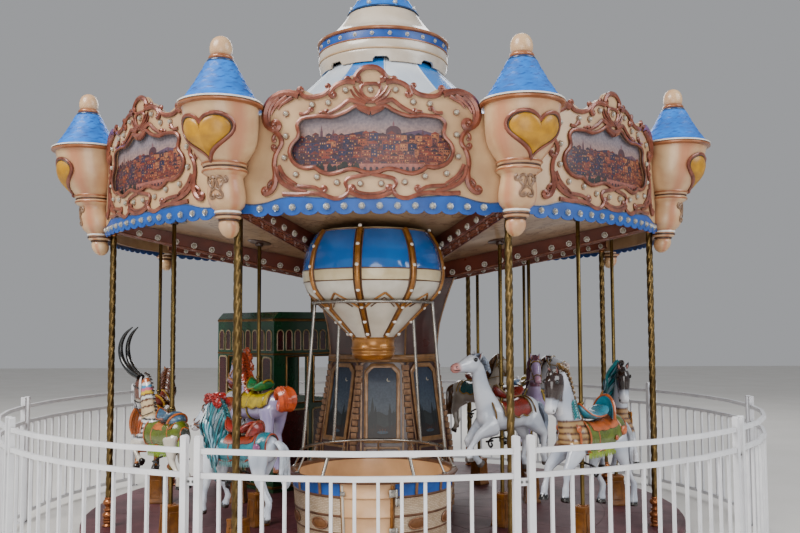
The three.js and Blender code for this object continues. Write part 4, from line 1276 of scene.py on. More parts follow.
basketFinishes = [wickerGelcoat, rimPaint, valanceEnamel, peachGelcoat, rimPaint]
wall = wedgeKept(charted(basketShell(), 590), car["doorHalf"], False)
bmesh.ops.holes_fill(wall, edges=[e for e in wall.edges if e.is_boundary], sides=60)
straps, cartouches, cartoucheLines = [], [], []
for k in range(16):
    azimuth = 33.75 + k * 22.5
    if abs((azimuth + 180) % 360 - 180) < 30:
        continue
    turn = math.radians(azimuth)
    straps.append([
        (r * math.sin(turn), -r * math.cos(turn), z, 11) for r,
        z in ((608, 560), (612, 600), (617, 640))])
for k in range(10):
    azimuth = 36 + k * 32
    oval = [
        (
            62 * math.cos(math.radians(a)) + 9 * math.cos(math.radians(3 * a)),
            40 * math.sin(math.radians(a)) + 5 * math.sin(math.radians(3 * a))) for a in range(
            0, 360, 15)]
    plate = pillow(oval, 7, 4)
    for vert in plate.verts:
        x, y, z = vert.co * 1000
        reach = 583 + (z + 352 - 300) * 0.09 - y
        angle = x / 585 + math.radians(azimuth)
        vert.co = (reach * math.sin(angle) / 1000, -reach * math.cos(angle) / 1000, (z + 352) / 1000)
    cartouches.append((plate, strapPaint))
    edge = []
    for x, z in [*oval, oval[0]]:
        angle = x / 585 + math.radians(azimuth)
        reach = 585 + (z + 52) * 0.09
        edge.append((reach * math.sin(angle), -reach * math.cos(angle), z + 352, 6))
    cartoucheLines.append(edge)
knuckle = turned([(0, 230), (11, 231), (12.5, 236), (12.5, 284), (11, 289), (0, 290)], 20)
hingeTurn = math.radians(car["doorHalf"])
hingeAt = Matrix.Translation((0.640 * math.sin(hingeTurn), -0.640 * math.cos(hingeTurn), 0))
lowerKnuckles = scattered(knuckle, [hingeAt, hingeAt @ Matrix.Translation((0, 0, 0.26))])
shift = Matrix.Translation((0, 0, 0.0603))
upperKnuckles = scattered(knuckle,
                          [hingeAt @ shift, hingeAt @ shift @ Matrix.Translation((0, 0, 0.26))])


def hingeLeaf(side, lift):
    # Strap from the knuckle to a plate on the wall, two screws in it
    parts = []
    for low in (230, 490):
        plate = slab([(0, 4), (0, 56), (side * 52, 56), (side * 52, 4)], -5, 9)
        softened(plate, 2, 2)
        matrix = hingeAt @ Matrix.Rotation(hingeTurn, 4, "Z") @ Matrix.Translation(
            (0, 0.004, (low + lift) / 1000))
        parts.append((moved(plate, matrix), stainlessTube))
        for spot in (18, 42):
            screw = turned([(5, 0), (4.4, 2.4), (2, 3.4), (0, 3.6)], 10)
            turnUp = Matrix.Rotation(math.radians(90), 4, "X")
            place = matrix @ Matrix.Translation((side * 0.038, -0.005, spot / 1000)) @ turnUp
            parts.append((moved(screw, place), stainlessTube))
    return parts


basketMesh = joined([
    (wall, basketFinishes),
    (strands(straps, 8, 1.0, 1), strapPaint),
    (strands(cartoucheLines, 6, 1.0, 1), ropePaint),
    *cartouches,
    (lowerKnuckles, stainlessTube),
    *hingeLeaf(1, 0),
], 45)
basketMesh.transform(carPlace)
addPiece("basket_wall", basketMesh, "turntable", ["balloon_basket"])

doorFinishes = [peachGelcoat, peachGelcoat, peachGelcoat, peachGelcoat, rimPaint]
leaf = wedgeKept(charted(basketShell(), 590), car["doorHalf"] - car["gap"], True)
doomed = [f for f in leaf.faces if f.calc_center_median().z < 0.165]
bmesh.ops.delete(leaf, geom=doomed, context="FACES")
bmesh.ops.holes_fill(leaf, edges=[e for e in leaf.edges if e.is_boundary], sides=80)
for face in leaf.faces:
    if face.calc_center_median().z < 0.641:
        face.material_index = 3
bmesh.ops.recalc_face_normals(leaf, faces=leaf.faces)
postTurn = math.radians(car["doorHalf"] - 1.9)
posts = [
    [
        (r * math.sin(postTurn), -r * math.cos(postTurn), z, 13) for r,
        z in ((571, 190), (590, 400), (611, 632))],
    [
        (-r * math.sin(postTurn), -r * math.cos(postTurn), z, 9) for r,
        z in ((571, 190), (590, 400), (611, 632))]]
latch = softened(slab([(-30, 560), (4, 560), (4, 590), (-30, 590)], -8, 6), 3, 2)
latchAt = outward(-car["doorHalf"] + 3.5, 612)
doorMesh = joined([
    (leaf, doorFinishes),
    (strands(posts[:1], 8, 1.0, 2), bronzeGold),
    (strands(posts[1:], 8, 1.0, 2), ivoryGelcoat),
    (moved(latch, latchAt), stainlessTube),
    (upperKnuckles, stainlessTube),
    *hingeLeaf(-1, 60.3),
], 45)
doorMesh.transform(carPlace)
addPiece("basket_gate", doorMesh, "basket_door", ["basket_door"])


def ringPoint(radius, azimuth, height, size):
    turn = math.radians(azimuth)
    return (radius * math.sin(turn), -radius * math.cos(turn), height, size)


tubes = [[ringPoint(car["hoopRadius"], a, car["hoopHeight"], car["tube"]) for a in range(0, 361, 5)]]
end = car["handrailEnd"]
tubes.append([
    ringPoint(car["handrailRadius"], end + (360 - 2 * end) * i / 60, car["handrailHeight"], car["tube"])
    for i in range(61)])
for azimuth in (95, 140, -140, -95):
    tubes.append([ringPoint(car["handrailRadius"], azimuth, car["handrailHeight"], car["tube"]),
                  ringPoint(car["hoopRadius"], azimuth, car["hoopHeight"], car["tube"])])
first = end + 1.3
flanges = []
for i in range(11):
    azimuth = first + (360 - 2 * first) * i / 10
    size = car["tube"] if i % 10 == 0 else car["baluster"]
    tubes.append([ringPoint(car["balusterRing"], azimuth, car["rim"] - 1, size),
                  ringPoint(car["handrailRadius"], azimuth, car["handrailHeight"], size)])
    scale = 1.0 if i % 10 == 0 else 0.7
    flanges.append(
        outward(azimuth, car["balusterRing"], car["rim"]) @ Matrix.Diagonal((scale, scale, 1, 1)))
flange = turned([(0, 0), (27, 0), (28, 2), (27.5, 5), (22, 8), (15, 9.5), (13, 12), (0, 12)], 24)
tubeMesh = joined([
    (strands(tubes, 12, 1.0, 1), stainlessTube),
    (scattered(flange, flanges), stainlessTube),
])
tubeMesh.transform(carPlace)
addPiece("balloon_tubes", tubeMesh, "turntable", ["balloon_frame"])

envelope = [
    (158, 1640), (172, 1655), (198, 1682), (250, 1732), (310, 1794), (372, 1856), (426, 1910),
    (478, 1962), (512, 2008), (532, 2060), (541, 2110), (541, 2150), (535, 2200), (524, 2260),
    (510, 2310), (488, 2360), (462, 2405), (430, 2450)]


def envelopeRadius(height):
    return profileRadius(envelope, height)


skin = turned([(150, 1640), *smoothPath(envelope, 2), (150, 2452)], 128, True)
for height in (1655, 2057, 2065, 2142, 2150, 2436, 2442):
    cutAt(skin, (0, 0, height / 1000), (0, 0, 1))
for face in skin.faces:
    height = face.calc_center_median().z * 1000
    face.material_index = 0 if height < 2061 else 1 if height < 2146 else 2 if height < 2439 else 1
for vert in skin.verts:
    # Each gore swells a little between its ribs
    reach = math.hypot(vert.co.x, vert.co.y)
    azimuth = math.degrees(math.atan2(vert.co.x, -vert.co.y)) - car["ribFirst"]
    swell = 1 - 0.014 * abs(math.cos(math.radians(azimuth * 4))) ** 4
    if reach > 0.16:
        vert.co.x *= swell
        vert.co.y *= swell
neck = turned([
    (0, 1474), (120, 1474), (128, 1480), (140, 1484), (152, 1500), (160, 1506), (164, 1514), (160, 1522),
    (163, 1530), (168, 1538), (166, 1546), (162, 1550), (166, 1558), (170, 1566), (167, 1574),
    (162, 1580), (164, 1630), (170, 1640), (166, 1648), (150, 1650)], 64)
ribLines, edgeLines, spots, zigzag, tabs = [], [], [], [], []
heights = [car["skinLow"] + (car["skinHigh"] - car["skinLow"]) * i / 22 for i in range(23)]


def grown(height):
    # Ribs widen over the first 400 mm of the envelope
    return min((height - car["skinLow"]) / 400, 1)


for k in range(car["ribCount"]):
    azimuth = car["ribFirst"] + 45 * k
    ribLines.append([ringPoint(envelopeRadius(z) - 5, azimuth, z, 15 + 8 * grown(z)) for z in heights])
    for side in (-1, 1):
        aside = [side * math.degrees((19 + 9 * grown(z)) / envelopeRadius(z)) for z in heights]
        edgeLines.append([
            ringPoint(envelopeRadius(z) - 3, azimuth + a, z, 5) for z, a in zip(heights, aside)])
    for height in car["ribLamps"][k % 2:]:
        spots.append(outward(azimuth, envelopeRadius(height) + 10, height))
    for start, peak in ((azimuth + 3, azimuth + 22.5), (azimuth + 42, azimuth + 22.5)):
        climb = [car["zigzagLow"] + car["zigzagRise"] * t / 8 for t in range(9)]
        zigzag.append([ringPoint(envelopeRadius(z) - 1, start + (peak - start) * t / 8, z, 10)
                       for t, z in enumerate(climb)])
        tabs.append([
            ringPoint(
                envelopeRadius(1880 + 62 * t / 6) - 1, start + (peak - start) * (0.35 + 0.65 * t / 6),
                1872 + 66 * t / 6, 5) for t in range(7)])
hoops = [[ringPoint(envelopeRadius(z) - 2, a, z, 5) for a in range(0, 361, 5)] for z in (2061, 2146, 2439)]
ball = turned([(0, -15), (9, -13), (14.5, -5), (15, 3), (10.5, 11), (0, 15)], 8)
balls = scattered(ball, [m @ Matrix.Rotation(math.radians(90), 4, "X") for m in spots])
envelopeMesh = joined([
    (skin, [ivoryGelcoat, balloonCream, royalGelcoat]),
    (neck, bronzeGold),
    (strands(ribLines, 8, 1.0, 1), bronzeGold),
    (strands(edgeLines, 4, 1.0, 1), rimPaint),
    (strands(hoops, 6, 1.0, 1), rimPaint),
    (strands(zigzag, 6, 1.0, 1), bronzeGold),
    (strands(tabs, 4, 1.0, 1), rimPaint),
    (balls, lampWhite),
], 50)
envelopeMesh.transform(carPlace)
addPiece("balloon_gores", envelopeMesh, "turntable", ["balloon_envelope"])
print("balloon car done")


# Columns of twisted brass on turned copper vases

column = {"ring": 2400, "radius": 27, "pitch": 96, "twistLow": 352, "strands": 3}
# Old brass, polished on the crests of the twist, with painted shade making its grooves dark green-brown
twistedBrass = finish("twistedBrass", {
    "base": "77613a", "shade": "574527", "rough": 0.34, "metal": 0.9, "mottle": 110, "creviceShade": 0.95,
    "creviceShadeColour": "2a2412", "reach": 14, "bump": 0.12})
copperVase = finish("copperVase", {
    "base": "b27246", "shade": "8e5330", "rough": 0.28, "metal": 0.7, "mottle": 60, "creviceShade": 0.8,
    "creviceShadeColour": "33190c", "bump": 0.1})
smoothBrass = finish("smoothBrass", {
    "base": "7c683c", "shade": "5e4d2b", "rough": 0.3, "metal": 0.95, "mottle": 130, "bump": 0.08})
columnTop = beamHeight(column["ring"] - column["radius"]) - 0.3
shaftHeights = [column["twistLow"] + (columnTop - 28 - column["twistLow"]) * i / 130 for i in range(131)]
shaft = turned([(25, z) for z in shaftHeights], 18)
for vert in shaft.verts:
    turn = math.atan2(vert.co.x, -vert.co.y)
    wave = math.cos(column["strands"] * turn - math.tau * vert.co.z * 1000 / column["pitch"])
    reach = 0.0235 + 0.0035 * (1 - abs(wave) ** 1.5 * 2 if wave < 0 else 1)
    vert.co.x, vert.co.y = reach * math.sin(turn), -reach * math.cos(turn)
vase = turned([
    (0, 120.4), (50, 120.4), (52, 126), (44, 134), (36, 144), (42, 152), (44, 160), (40, 168), (46, 174),
    (46, 182), (38, 188), (46, 200), (50, 214), (44, 226), (36, 232), (30, 240), (38, 246), (40, 254),
    (38, 262), (28, 264), (27, 272), (28, 284), (36, 290), (45, 302), (46, 314), (40, 328), (30, 336),
    (33, 344), (30, 352), (0, 353)], 26)
capital = turned([
    (0, columnTop - 34), (27, columnTop - 34), (30, columnTop - 26), (27, columnTop - 18),
    (34, columnTop - 8), (38, columnTop), (0, columnTop)], 28)
columnMesh = joined([(shaft, twistedBrass), (vase, copperVase), (capital, copperVase)], 50)
for i in range(bayCount):
    place = outward((i + 0.5) * bayAngle, column["ring"])
    addPiece(
        f"twisted_column_{i + 1}", columnMesh, "turntable", [f"support_column_{i + 1}"],
        place)
print("columns done")


# Deck: painted plates with seams, a rounded skirt, and the ochre pedestals of the animals

deck = {"top": 120, "rings": [640, 1300, 1960, 2596], "plates": 16, "seam": 5}
# Anti-slip paint on steel plate: dark maroon; grey scuffing where feet go is not drawn
deckPaint = finish("deckPaint", {
    "base": "5e3036", "shade": "462228", "rough": 0.5, "mottle": 260, "creviceShade": 0.7,
    "creviceShadeColour": "1c1012", "bump": 0.5, "grain": 7})
pedestalPaint = finish("pedestalPaint", {
    "base": "8a5415", "shade": "6c3e0e", "rough": 0.42, "coat": 0.15, "mottle": 60, "creviceShade": 0.8,
    "creviceShadeColour": "2c1b08", "bump": 0.15})
base = turned([
    (0, 80), (2588, 80), (2590, 30), (2614, 30), (2620, 38), (2620, 104), (2612, 114), (2600, 117),
    (0, 117)], 120)
plateParts = [(base, deckPaint)]
for inner, outer in zip(deck["rings"], deck["rings"][1:]):
    for k in range(deck["plates"]):
        count = 5
        low = 360 / deck["plates"] * k + 11.25
        outline = []
        for edge, sign in ((inner + deck["seam"] / 2, 1), (outer - deck["seam"] / 2, -1)):
            margin = math.degrees(deck["seam"] / 2 / edge)
            angles = [
                low + margin + (360 / deck["plates"] - 2 * margin) * i / count for i in range(count + 1)]
            for angle in angles[::sign]:
                outline.append((edge * math.sin(math.radians(angle)), edge * math.cos(math.radians(angle))))
        plate = slab(outline, -3.2, 3)
        moved(plate, Matrix.Translation((0, 0, 0.1172)) @ Matrix.Rotation(math.radians(-90), 4, "X"))
        plateParts.append((plate, deckPaint))
deckMesh = joined(plateParts, 30)
body = slab([
    (-72, 0), (72, 0), (71, 20), (67, 28), (57, 240), (60, 245), (60, 263), (-60, 263), (-60, 245),
    (-57, 240), (-67, 28), (-71, 20)], -72, 72)
for vert in body.verts:
    # The plate's depth follows its width, so that all four sides taper alike
    reach = profileRadius([(72, -1), (71, 20), (67, 28), (57, 240), (60, 246), (60, 264)], vert.co.z * 1000)
    vert.co.y = math.copysign(reach / 1000, vert.co.y)
softened(body, 4, 2)
cap = turned([(20, 259), (40, 260), (42, 265), (38, 269), (26, 271), (20, 269)], 24, True)
pedestalParts = [(body, pedestalPaint), (cap, copperVase)]
for side in range(4):
    panel = softened(
        slab(
            [(-46, 52), (46, 52), (38, 216), (-38, 216)], -3, 0, 0,
            [[(-38, 62), (38, 62), (32, 206), (-32, 206)]]), 1)
    for vert in panel.verts:
        vert.co.y -= profileRadius([(67, 28), (57, 240)], vert.co.z * 1000) / 1000
    pedestalParts.append((moved(panel, Matrix.Rotation(math.radians(90 * side), 4, "Z")), pedestalPaint))
pedestalMesh = joined(pedestalParts, 35)
addPiece("deck_plates", deckMesh, "turntable", ["deck"])
for name, rider in riders.items():
    addPiece(
        f"pedestal_{name}", pedestalMesh, "turntable", (),
        outward(rider["azimuth"], rider["ring"], deck["top"]))
print("deck done")


# Animals: bodies swept from stations and remeshed into one skin, then painted, saddled and bridled
# Local x is the riding direction and z is measured from the torso's middle
# Stations are x, y, z, half height, half width

animalSizes = {"poleRadius": 16, "poleFoot": 262, "voxel": 13, "legSide": 62}
torso = [
    (-332, 0, 34, 22, 20), (-312, 0, 40, 60, 48), (-268, 0, 34, 96, 80), (-205, 0, 18, 108, 94),
    (-120, 0, 2, 100, 92), (-30, 0, -4, 96, 90), (60, 0, -2, 102, 94), (140, 0, 6, 112, 96),
    (205, 0, 18, 104, 80), (248, 0, 30, 74, 56), (272, 0, 34, 30, 26)]
# Necks from the withers to the poll; the crest is the line that the mane grows from
necks = {
    "level": {
        "stations": [
            (150, 34, 104, 76), (200, 90, 98, 62), (234, 160, 82, 50), (258, 235, 68, 43),
            (276, 310, 60, 39), (292, 368, 50, 34)],
        "crest": [(268, 440), (226, 410), (202, 345), (182, 268), (152, 194), (110, 132)],
        "poll": (280, 388), "tilt": 9, "bulk": 1.06},
    "tucked": {
        "stations": [
            (150, 34, 104, 76), (202, 84, 98, 64), (242, 150, 84, 52), (266, 220, 72, 45),
            (278, 285, 63, 40), (284, 338, 50, 34)],
        "crest": [(262, 402), (226, 372), (200, 315), (178, 248), (148, 182), (110, 136)],
        "poll": (256, 356), "tilt": 47, "bulk": 1.06},
    "bowed": {
        "stations": [
            (150, 34, 104, 78), (192, 96, 100, 66), (222, 180, 86, 55), (246, 268, 74, 48),
            (270, 350, 64, 43), (300, 418, 54, 38)],
        "crest": [(296, 480), (240, 456), (200, 378), (172, 286), (144, 200), (104, 134)],
        "poll": (322, 424), "tilt": 76, "bulk": 1.24},
    "lowered": {
        "stations": [
            (150, 34, 104, 78), (184, 90, 106, 70), (204, 150, 94, 60), (218, 210, 84, 54),
            (226, 262, 76, 48), (240, 304, 52, 38)],
        "crest": [(256, 336), (214, 350), (172, 334), (138, 284), (116, 214), (96, 140)],
        "poll": (222, 284), "tilt": 37, "bulk": 1.12},
    "arched": {
        "stations": [
            (140, 34, 106, 80), (176, 100, 108, 70), (204, 190, 94, 58), (226, 285, 82, 51),
            (246, 375, 72, 46), (282, 448, 56, 38)],
        "crest": [(270, 512), (206, 484), (162, 398), (134, 298), (102, 204), (62, 138)],
        "poll": (318, 450), "tilt": 77, "bulk": 1.26}}
# Along the face from the poll: distance, half depth, half width
headPlan = [
    (0, 26, 24), (24, 52, 38), (64, 63, 44), (108, 55, 41), (152, 42, 34), (194, 34, 29), (226, 34, 31),
    (248, 30, 30), (261, 14, 18)]
legPaths = {
    "gallop": {
        "front": [
            [(205, -60), (350, -110), (440, -200), (440, -278)],
            [(190, -60), (330, -165), (245, -285), (190, -338)]],
        "hind": [
            [(-215, -30), (-345, -150), (-330, -295), (-365, -374)],
            [(-200, -30), (-285, -190), (-252, -325), (-290, -403)]]},
    "prance": {
        "front": [
            [(205, -60), (320, -120), (400, -215), (352, -322)],
            [(195, -60), (230, -230), (260, -355), (275, -472)]],
        "hind": [
            [(-215, -30), (-260, -200), (-368, -318), (-360, -458)],
            [(-200, -30), (-180, -210), (-255, -332), (-205, -458)]]},
    "canter": {
        "front": [
            [(205, -60), (300, -170), (322, -285), (330, -364)],
            [(195, -60), (330, -160), (372, -280), (385, -357)]],
        "hind": [
            [(-215, -30), (-290, -200), (-385, -332), (-370, -477)],
            [(-190, -30), (-110, -190), (-215, -332), (-185, -452)]]},
    "leap": {
        "front": [
            [(195, -50), (370, -95), (265, -208), (193, -244)],
            [(205, -40), (385, -10), (483, -90), (511, -165)]],
        "hind": [
            [(-215, -30), (-240, -200), (-345, -308), (-345, -412)],
            [(-200, -30), (-190, -210), (-290, -318), (-290, -422)]]},
    "trot": {
        "front": [
            [(205, -60), (235, -225), (262, -355), (275, -462)],
            [(195, -60), (202, -225), (142, -338), (180, -428)]],
        "hind": [
            [(-215, -30), (-230, -210), (-315, -342), (-285, -468)],
            [(-200, -30), (-150, -210), (-225, -342), (-190, -468)]]}}


def facePoint(head, along, across=0):
    # A point along the face from the poll, and across it toward the brow
    (px, pz), tilt = necks[head]["poll"], math.radians(necks[head]["tilt"])
    return (
        px + along * math.cos(tilt) + across * math.sin(tilt),
        pz - along * math.sin(tilt) + across * math.cos(tilt))


def headStations(head):
    bulk = necks[head]["bulk"]
    return [(*facePoint(head, along), tall * bulk, wide * bulk) for along, tall, wide in headPlan]


def limb(bm, stations, sides=14):
    # A closed skin through oval stations
    rings = []
    last = len(stations) - 1
    for i, (x, y, z, tall, wide) in enumerate(stations):
        before, after = stations[max(i - 1, 0)], stations[min(i + 1, last)]
        along = Vector((after[0] - before[0], after[1] - before[1], after[2] - before[2])).normalized()
        side = Vector((0, 1, 0))
        upright = along.cross(side).normalized()
        turn = Matrix((upright * tall / 1000, side * wide / 1000, along)).transposed().to_4x4()
        place = Matrix.Translation((x / 1000, y / 1000, z / 1000)) @ turn
        made = bmesh.ops.create_circle(bm, cap_ends=i in (0, last), segments=sides, radius=1, matrix=place)
        rings.append({e for v in made["verts"] for e in v.link_edges if e.other_vert(v) in made["verts"]})
    for first, second in zip(rings, rings[1:]):
        bmesh.ops.bridge_loops(bm, edges=list(first | second))


def legStations(path, side, hind):
    points = [(x, side * animalSizes["legSide"], z) for x, z in path]
    top, knee, fetlock, hoof = (Vector(p) for p in points)
    thick = 1.25 if hind else 1.0
    plan = [
        (top.lerp(knee, -0.15), 74 * thick, 50), (top.lerp(knee, 0.3), 60 * thick, 44),
        (top.lerp(knee, 0.7), 42 * thick, 33), (knee, 33, 27), (knee.lerp(fetlock, 0.2), 28, 24),
        (knee.lerp(fetlock, 0.55), 20, 18), (knee.lerp(fetlock, 0.85), 21, 19), (fetlock, 26, 23),
        (fetlock.lerp(hoof, 0.4), 23, 21), (fetlock.lerp(hoof, 0.62), 30, 27), (hoof, 38, 33)]
    return [(p.x, p.y, p.z, tall, wide) for p, tall, wide in plan]


def skinned(bm, voxel, smoothing):
    # Melts overlapping parts into one even skin
    mesh = bpy.data.meshes.new("skin")
    bm.to_mesh(mesh)
    bm.free()
    holder = bpy.data.objects.new("skin", mesh)
    bpy.context.scene.collection.objects.link(holder)
    melt = holder.modifiers.new("melt", "REMESH")
    melt.mode = "VOXEL"
    melt.voxel_size = voxel / 1000
    ease = holder.modifiers.new("ease", "SMOOTH")
    ease.factor = 0.5
    ease.iterations = smoothing
    made = bpy.data.meshes.new_from_object(holder.evaluated_get(bpy.context.evaluated_depsgraph_get()))
    skin = bmesh.new()
    skin.from_mesh(made)
    bpy.data.objects.remove(holder)
    bpy.data.meshes.remove(mesh)
    bpy.data.meshes.remove(made)
    return skin


def bodySkin(legs, head):
    bm = bmesh.new()
    limb(bm, torso, 20)
    limb(bm, [(x, 0, z, tall, wide) for x, z, tall, wide in necks[head]["stations"]], 18)
    limb(bm, [(x, 0, z, tall, wide) for x, z, tall, wide in headStations(head)], 16)
    paths = legPaths[legs]
    for hind, group in ((False, paths["front"]), (True, paths["hind"])):
        for side, path in zip((1, -1), group):
            limb(bm, legStations(path, side, hind), 12)
    bmesh.ops.recalc_face_normals(bm, faces=bm.faces)
    return skinned(bm, animalSizes["voxel"], 2)


def lerpColour(first, second, amount):
    amount = min(max(amount, 0), 1)
    return [a + (b - a) * amount for a, b in zip(first, second)]


def ease(value, low, high):
    t = min(max((value - low) / (high - low), 0), 1)
    return t * t * (3 - 2 * t)


def paintBody(bm, dressing):
    # Writes the coat, chest stripes, neck bands, mask, muzzle and hooves into the paint attribute, with
    # painted shade on the undersides
    layer = bm.loops.layers.float_color.new("paint")
    coat, muzzle, hoofColour = (toLinear(dressing[k]) for k in ("coat", "muzzle", "hoof"))
    shade = toLinear(dressing["shade"])
    mask = toLinear(dressing["face"]) if "face" in dressing else None
    head = dressing["head"]
    nose, poll = (Vector((x / 1000, 0, z / 1000)) for x, z in (facePoint(head, 248), facePoint(head, 20)))
    axis = (nose - poll).normalized()
    reach = (nose - poll).length
    brow = Vector((axis.z, 0, -axis.x)) * -1
    legs = [(side * animalSizes["legSide"], path) for group in legPaths[dressing["legs"]].values()
            for side, path in zip((1, -1), group)]
    shins, feet = (
        [Vector((path[end][0] / 1000, y / 1000, path[end][1] / 1000)) for y, path in legs] for end in (
            -2, -1))
    colours = {}
    for vert in bm.verts:
        co = vert.co
        tone = ease(noise.noise(co * 9), -0.3, 0.5) * 0.7
        # Painted shade: faces turned downward are darkened toward the shade colour
        under = ease(-vert.normal.z, 0.1, 0.9) * 0.5
        colour = lerpColour(coat, shade, max(tone, under))
        along = (co - poll).dot(axis)
        deep = abs((co - poll).dot(brow))
        onHead = along > -0.035 and deep < 0.085 and (co.x > poll.x - 0.03)
        if "armour" in dressing and co.x > 0.02 and 0.135 > co.z > -0.05 and not onHead:
            stripe = 0.5 + 0.5 * math.sin(co.z * math.tau / 0.038)
            colour = lerpColour(
                toLinear(dressing["armour"][0]), toLinear(dressing["armour"][1]),
                ease(stripe, 0.35, 0.65))
        if "bands" in dressing and not onHead and co.x > 0.09:
            for low, band in dressing["bands"]:
                if co.z + (co.x - 0.18) * 0.25 > low:
                    colour = toLinear(band)
                    break
        if onHead and mask:
            colour = lerpColour(mask, colour, ease(along, reach * 0.62, reach * 0.7))
        if onHead:
            colour = lerpColour(
                colour, muzzle, ease(along, reach * 0.7, reach * 0.9) * dressing.get("blush", 1))
        for foot, shin in zip(feet, shins):
            down = (foot - shin).normalized()
            if (co - foot).length < 0.075 and (co - foot).dot(down) > -0.036:
                colour = hoofColour
        colours[vert] = colour
    for face in bm.faces:
        for loop in face.loops:
            loop[layer] = colours[loop.vert]
    return bm


def ellipseAt(x):
    # Torso middle height, half height and half width at x
    for a, b in zip(torso, torso[1:]):
        if a[0] <= x <= b[0]:
            t = (x - a[0]) / (b[0] - a[0])
            return [a[i] + (b[i] - a[i]) * t for i in (2, 3, 4)]
    return torso[-1][2:]


def onBack(x, turn, lift):
    # A point on the torso: turn is measured from straight up, positive to the left
    middle, tall, wide = ellipseAt(x)
    return (x, (wide + lift) * math.sin(turn), middle + (tall + lift) * math.cos(turn))


def blanket(low, high, drop, lift, scallop=0.0, columns=12, rows=26):
    # A cloth-like plate lying over the back, scalloped along its lower edges
    bm = bmesh.new()
    grid = bmesh.ops.create_grid(bm, x_segments=columns, y_segments=rows, size=0.5)
    for vert in grid["verts"]:
        along, around = vert.co.x + 0.5, vert.co.y * 2
        edge = math.radians(drop) * (
            1 + scallop * (abs(math.sin(along * math.pi * 3)) - 0.5) * abs(around) ** 3)
        x = low + (high - low) * along
        vert.co = Vector(onBack(x, around * edge, lift)) / 1000
    bmesh.ops.recalc_face_normals(bm, faces=bm.faces)
    if sum(f.normal.z for f in bm.faces) < 0:
        bmesh.ops.reverse_faces(bm, faces=bm.faces)
    bmesh.ops.solidify(bm, geom=bm.faces[:], thickness=0.006)
    return bm


def blanketEdge(low, high, drop, lift, scallop, size):
    lines = []
    for side in (-1, 1):
        line = []
        for i in range(33):
            along = i / 32
            edge = math.radians(drop) * (1 + scallop * (abs(math.sin(along * math.pi * 3)) - 0.5))
            line.append((*onBack(low + (high - low) * along, side * edge, lift), size))
        lines.append(line)
    for x in (low, high):
        lines.append([(*onBack(x, math.radians(drop) * t / 12, lift), size) for t in range(-12, 13)])
    return strands(lines, 6, 1.0, 1)


def fringe(low, high, drop, lift, length, count):
    lines = []
    for side in (-1, 1):
        for i in range(count):
            x = low + (high - low) * (i + 0.5) / count
            px, py, pz = onBack(x, side * math.radians(drop), lift)
            lines.append([
                (px, py, pz + 6, 6), (px, py * 0.99, pz - length * 0.5, 6),
                (px, py * 0.97, pz - length, 3)])
    return strands(lines, 4, 1.0, 1)


def saddleShape():
    bm = bmesh.new()
    limb(bm, [
        (-138, 0, 196, 10, 40), (-128, 0, 190, 20, 62), (-108, 0, 174, 28, 78), (-72, 0, 152, 28, 86),
        (-20, 0, 142, 26, 88), (30, 0, 146, 26, 82), (66, 0, 160, 26, 64), (88, 0, 180, 22, 44),
        (100, 0, 200, 16, 28), (104, 0, 214, 8, 14)], 18)
    bmesh.ops.recalc_face_normals(bm, faces=bm.faces)
    return bm


def domePoint(around, out, high):
    # The bowl-shaped back of a saddle: a half disc that is hollow toward the head
    turn = math.radians(around * 90)
    up = out * math.cos(turn)
    return (-142 - 52 * (1 - out * out) - 34 * up, 94 * out * math.sin(turn), 112 + high * up)


def dome(high):
    bm = bmesh.new()
    grid = bmesh.ops.create_grid(bm, x_segments=20, y_segments=7, size=0.5)
    for vert in grid["verts"]:
        vert.co = Vector(domePoint(vert.co.x * 2, vert.co.y + 0.5, high)) / 1000
    bmesh.ops.remove_doubles(bm, verts=bm.verts, dist=0.0002)
    bmesh.ops.recalc_face_normals(bm, faces=bm.faces)
    bmesh.ops.solidify(bm, geom=bm.faces[:], thickness=0.014)
    bmesh.ops.recalc_face_normals(bm, faces=bm.faces)
    return bm


def domeRim(high):
    return [(*domePoint(i / 14, 1, high), 10) for i in range(-14, 15)]


def earShape(side, where, turn):
    outline = [(0, -30), (10, -14), (13, 4), (9, 24), (0, 44), (-9, 24), (-13, 4), (-10, -14)]
    outer = pillow(outline, 7, 4, -3)
    inner = pillow([(x * 0.6, z * 0.66 - 2) for x, z in outline], 3, 3, 5)
    aim = (
        Matrix.Translation((where[0] / 1000, side * 0.03, where[1] / 1000)) @ Matrix.Rotation(
            math.radians(turn), 4, "Y") @ Matrix.Rotation(math.radians(-14 * side), 4, "X") @ Matrix.Rotation(
            math.radians(90 - side * 14), 4, "Z"))
    return moved(outer, aim), moved(inner, aim)


def locks(crest, length, size, seed):
    # Mane locks fall to both sides of the crest and curl at their ends; short ones stay close to it
    rng = random.Random(seed)
    spread = min(length / 84, 1)
    lines = []
    for x, z in smoothPath(crest, 3):
        for side in (spread, -spread):
            fall = length * rng.uniform(0.8, 1.15)
            back = rng.uniform(16, 30) * spread
            lines.append([
                (x + 4, side * 4, z, size), (x - back * 0.5, side * 26, z - fall * 0.15, size * 1.1),
                (x - back, side * 50, z - fall * 0.55, size * 0.95),
                (x - back * 1.5, side * 52, z - fall * 0.9, size * 0.7),
                (x - back * 0.9, side * 56, z - fall, size * 0.35)])
    return strands(lines, 6, 1.0, 2)


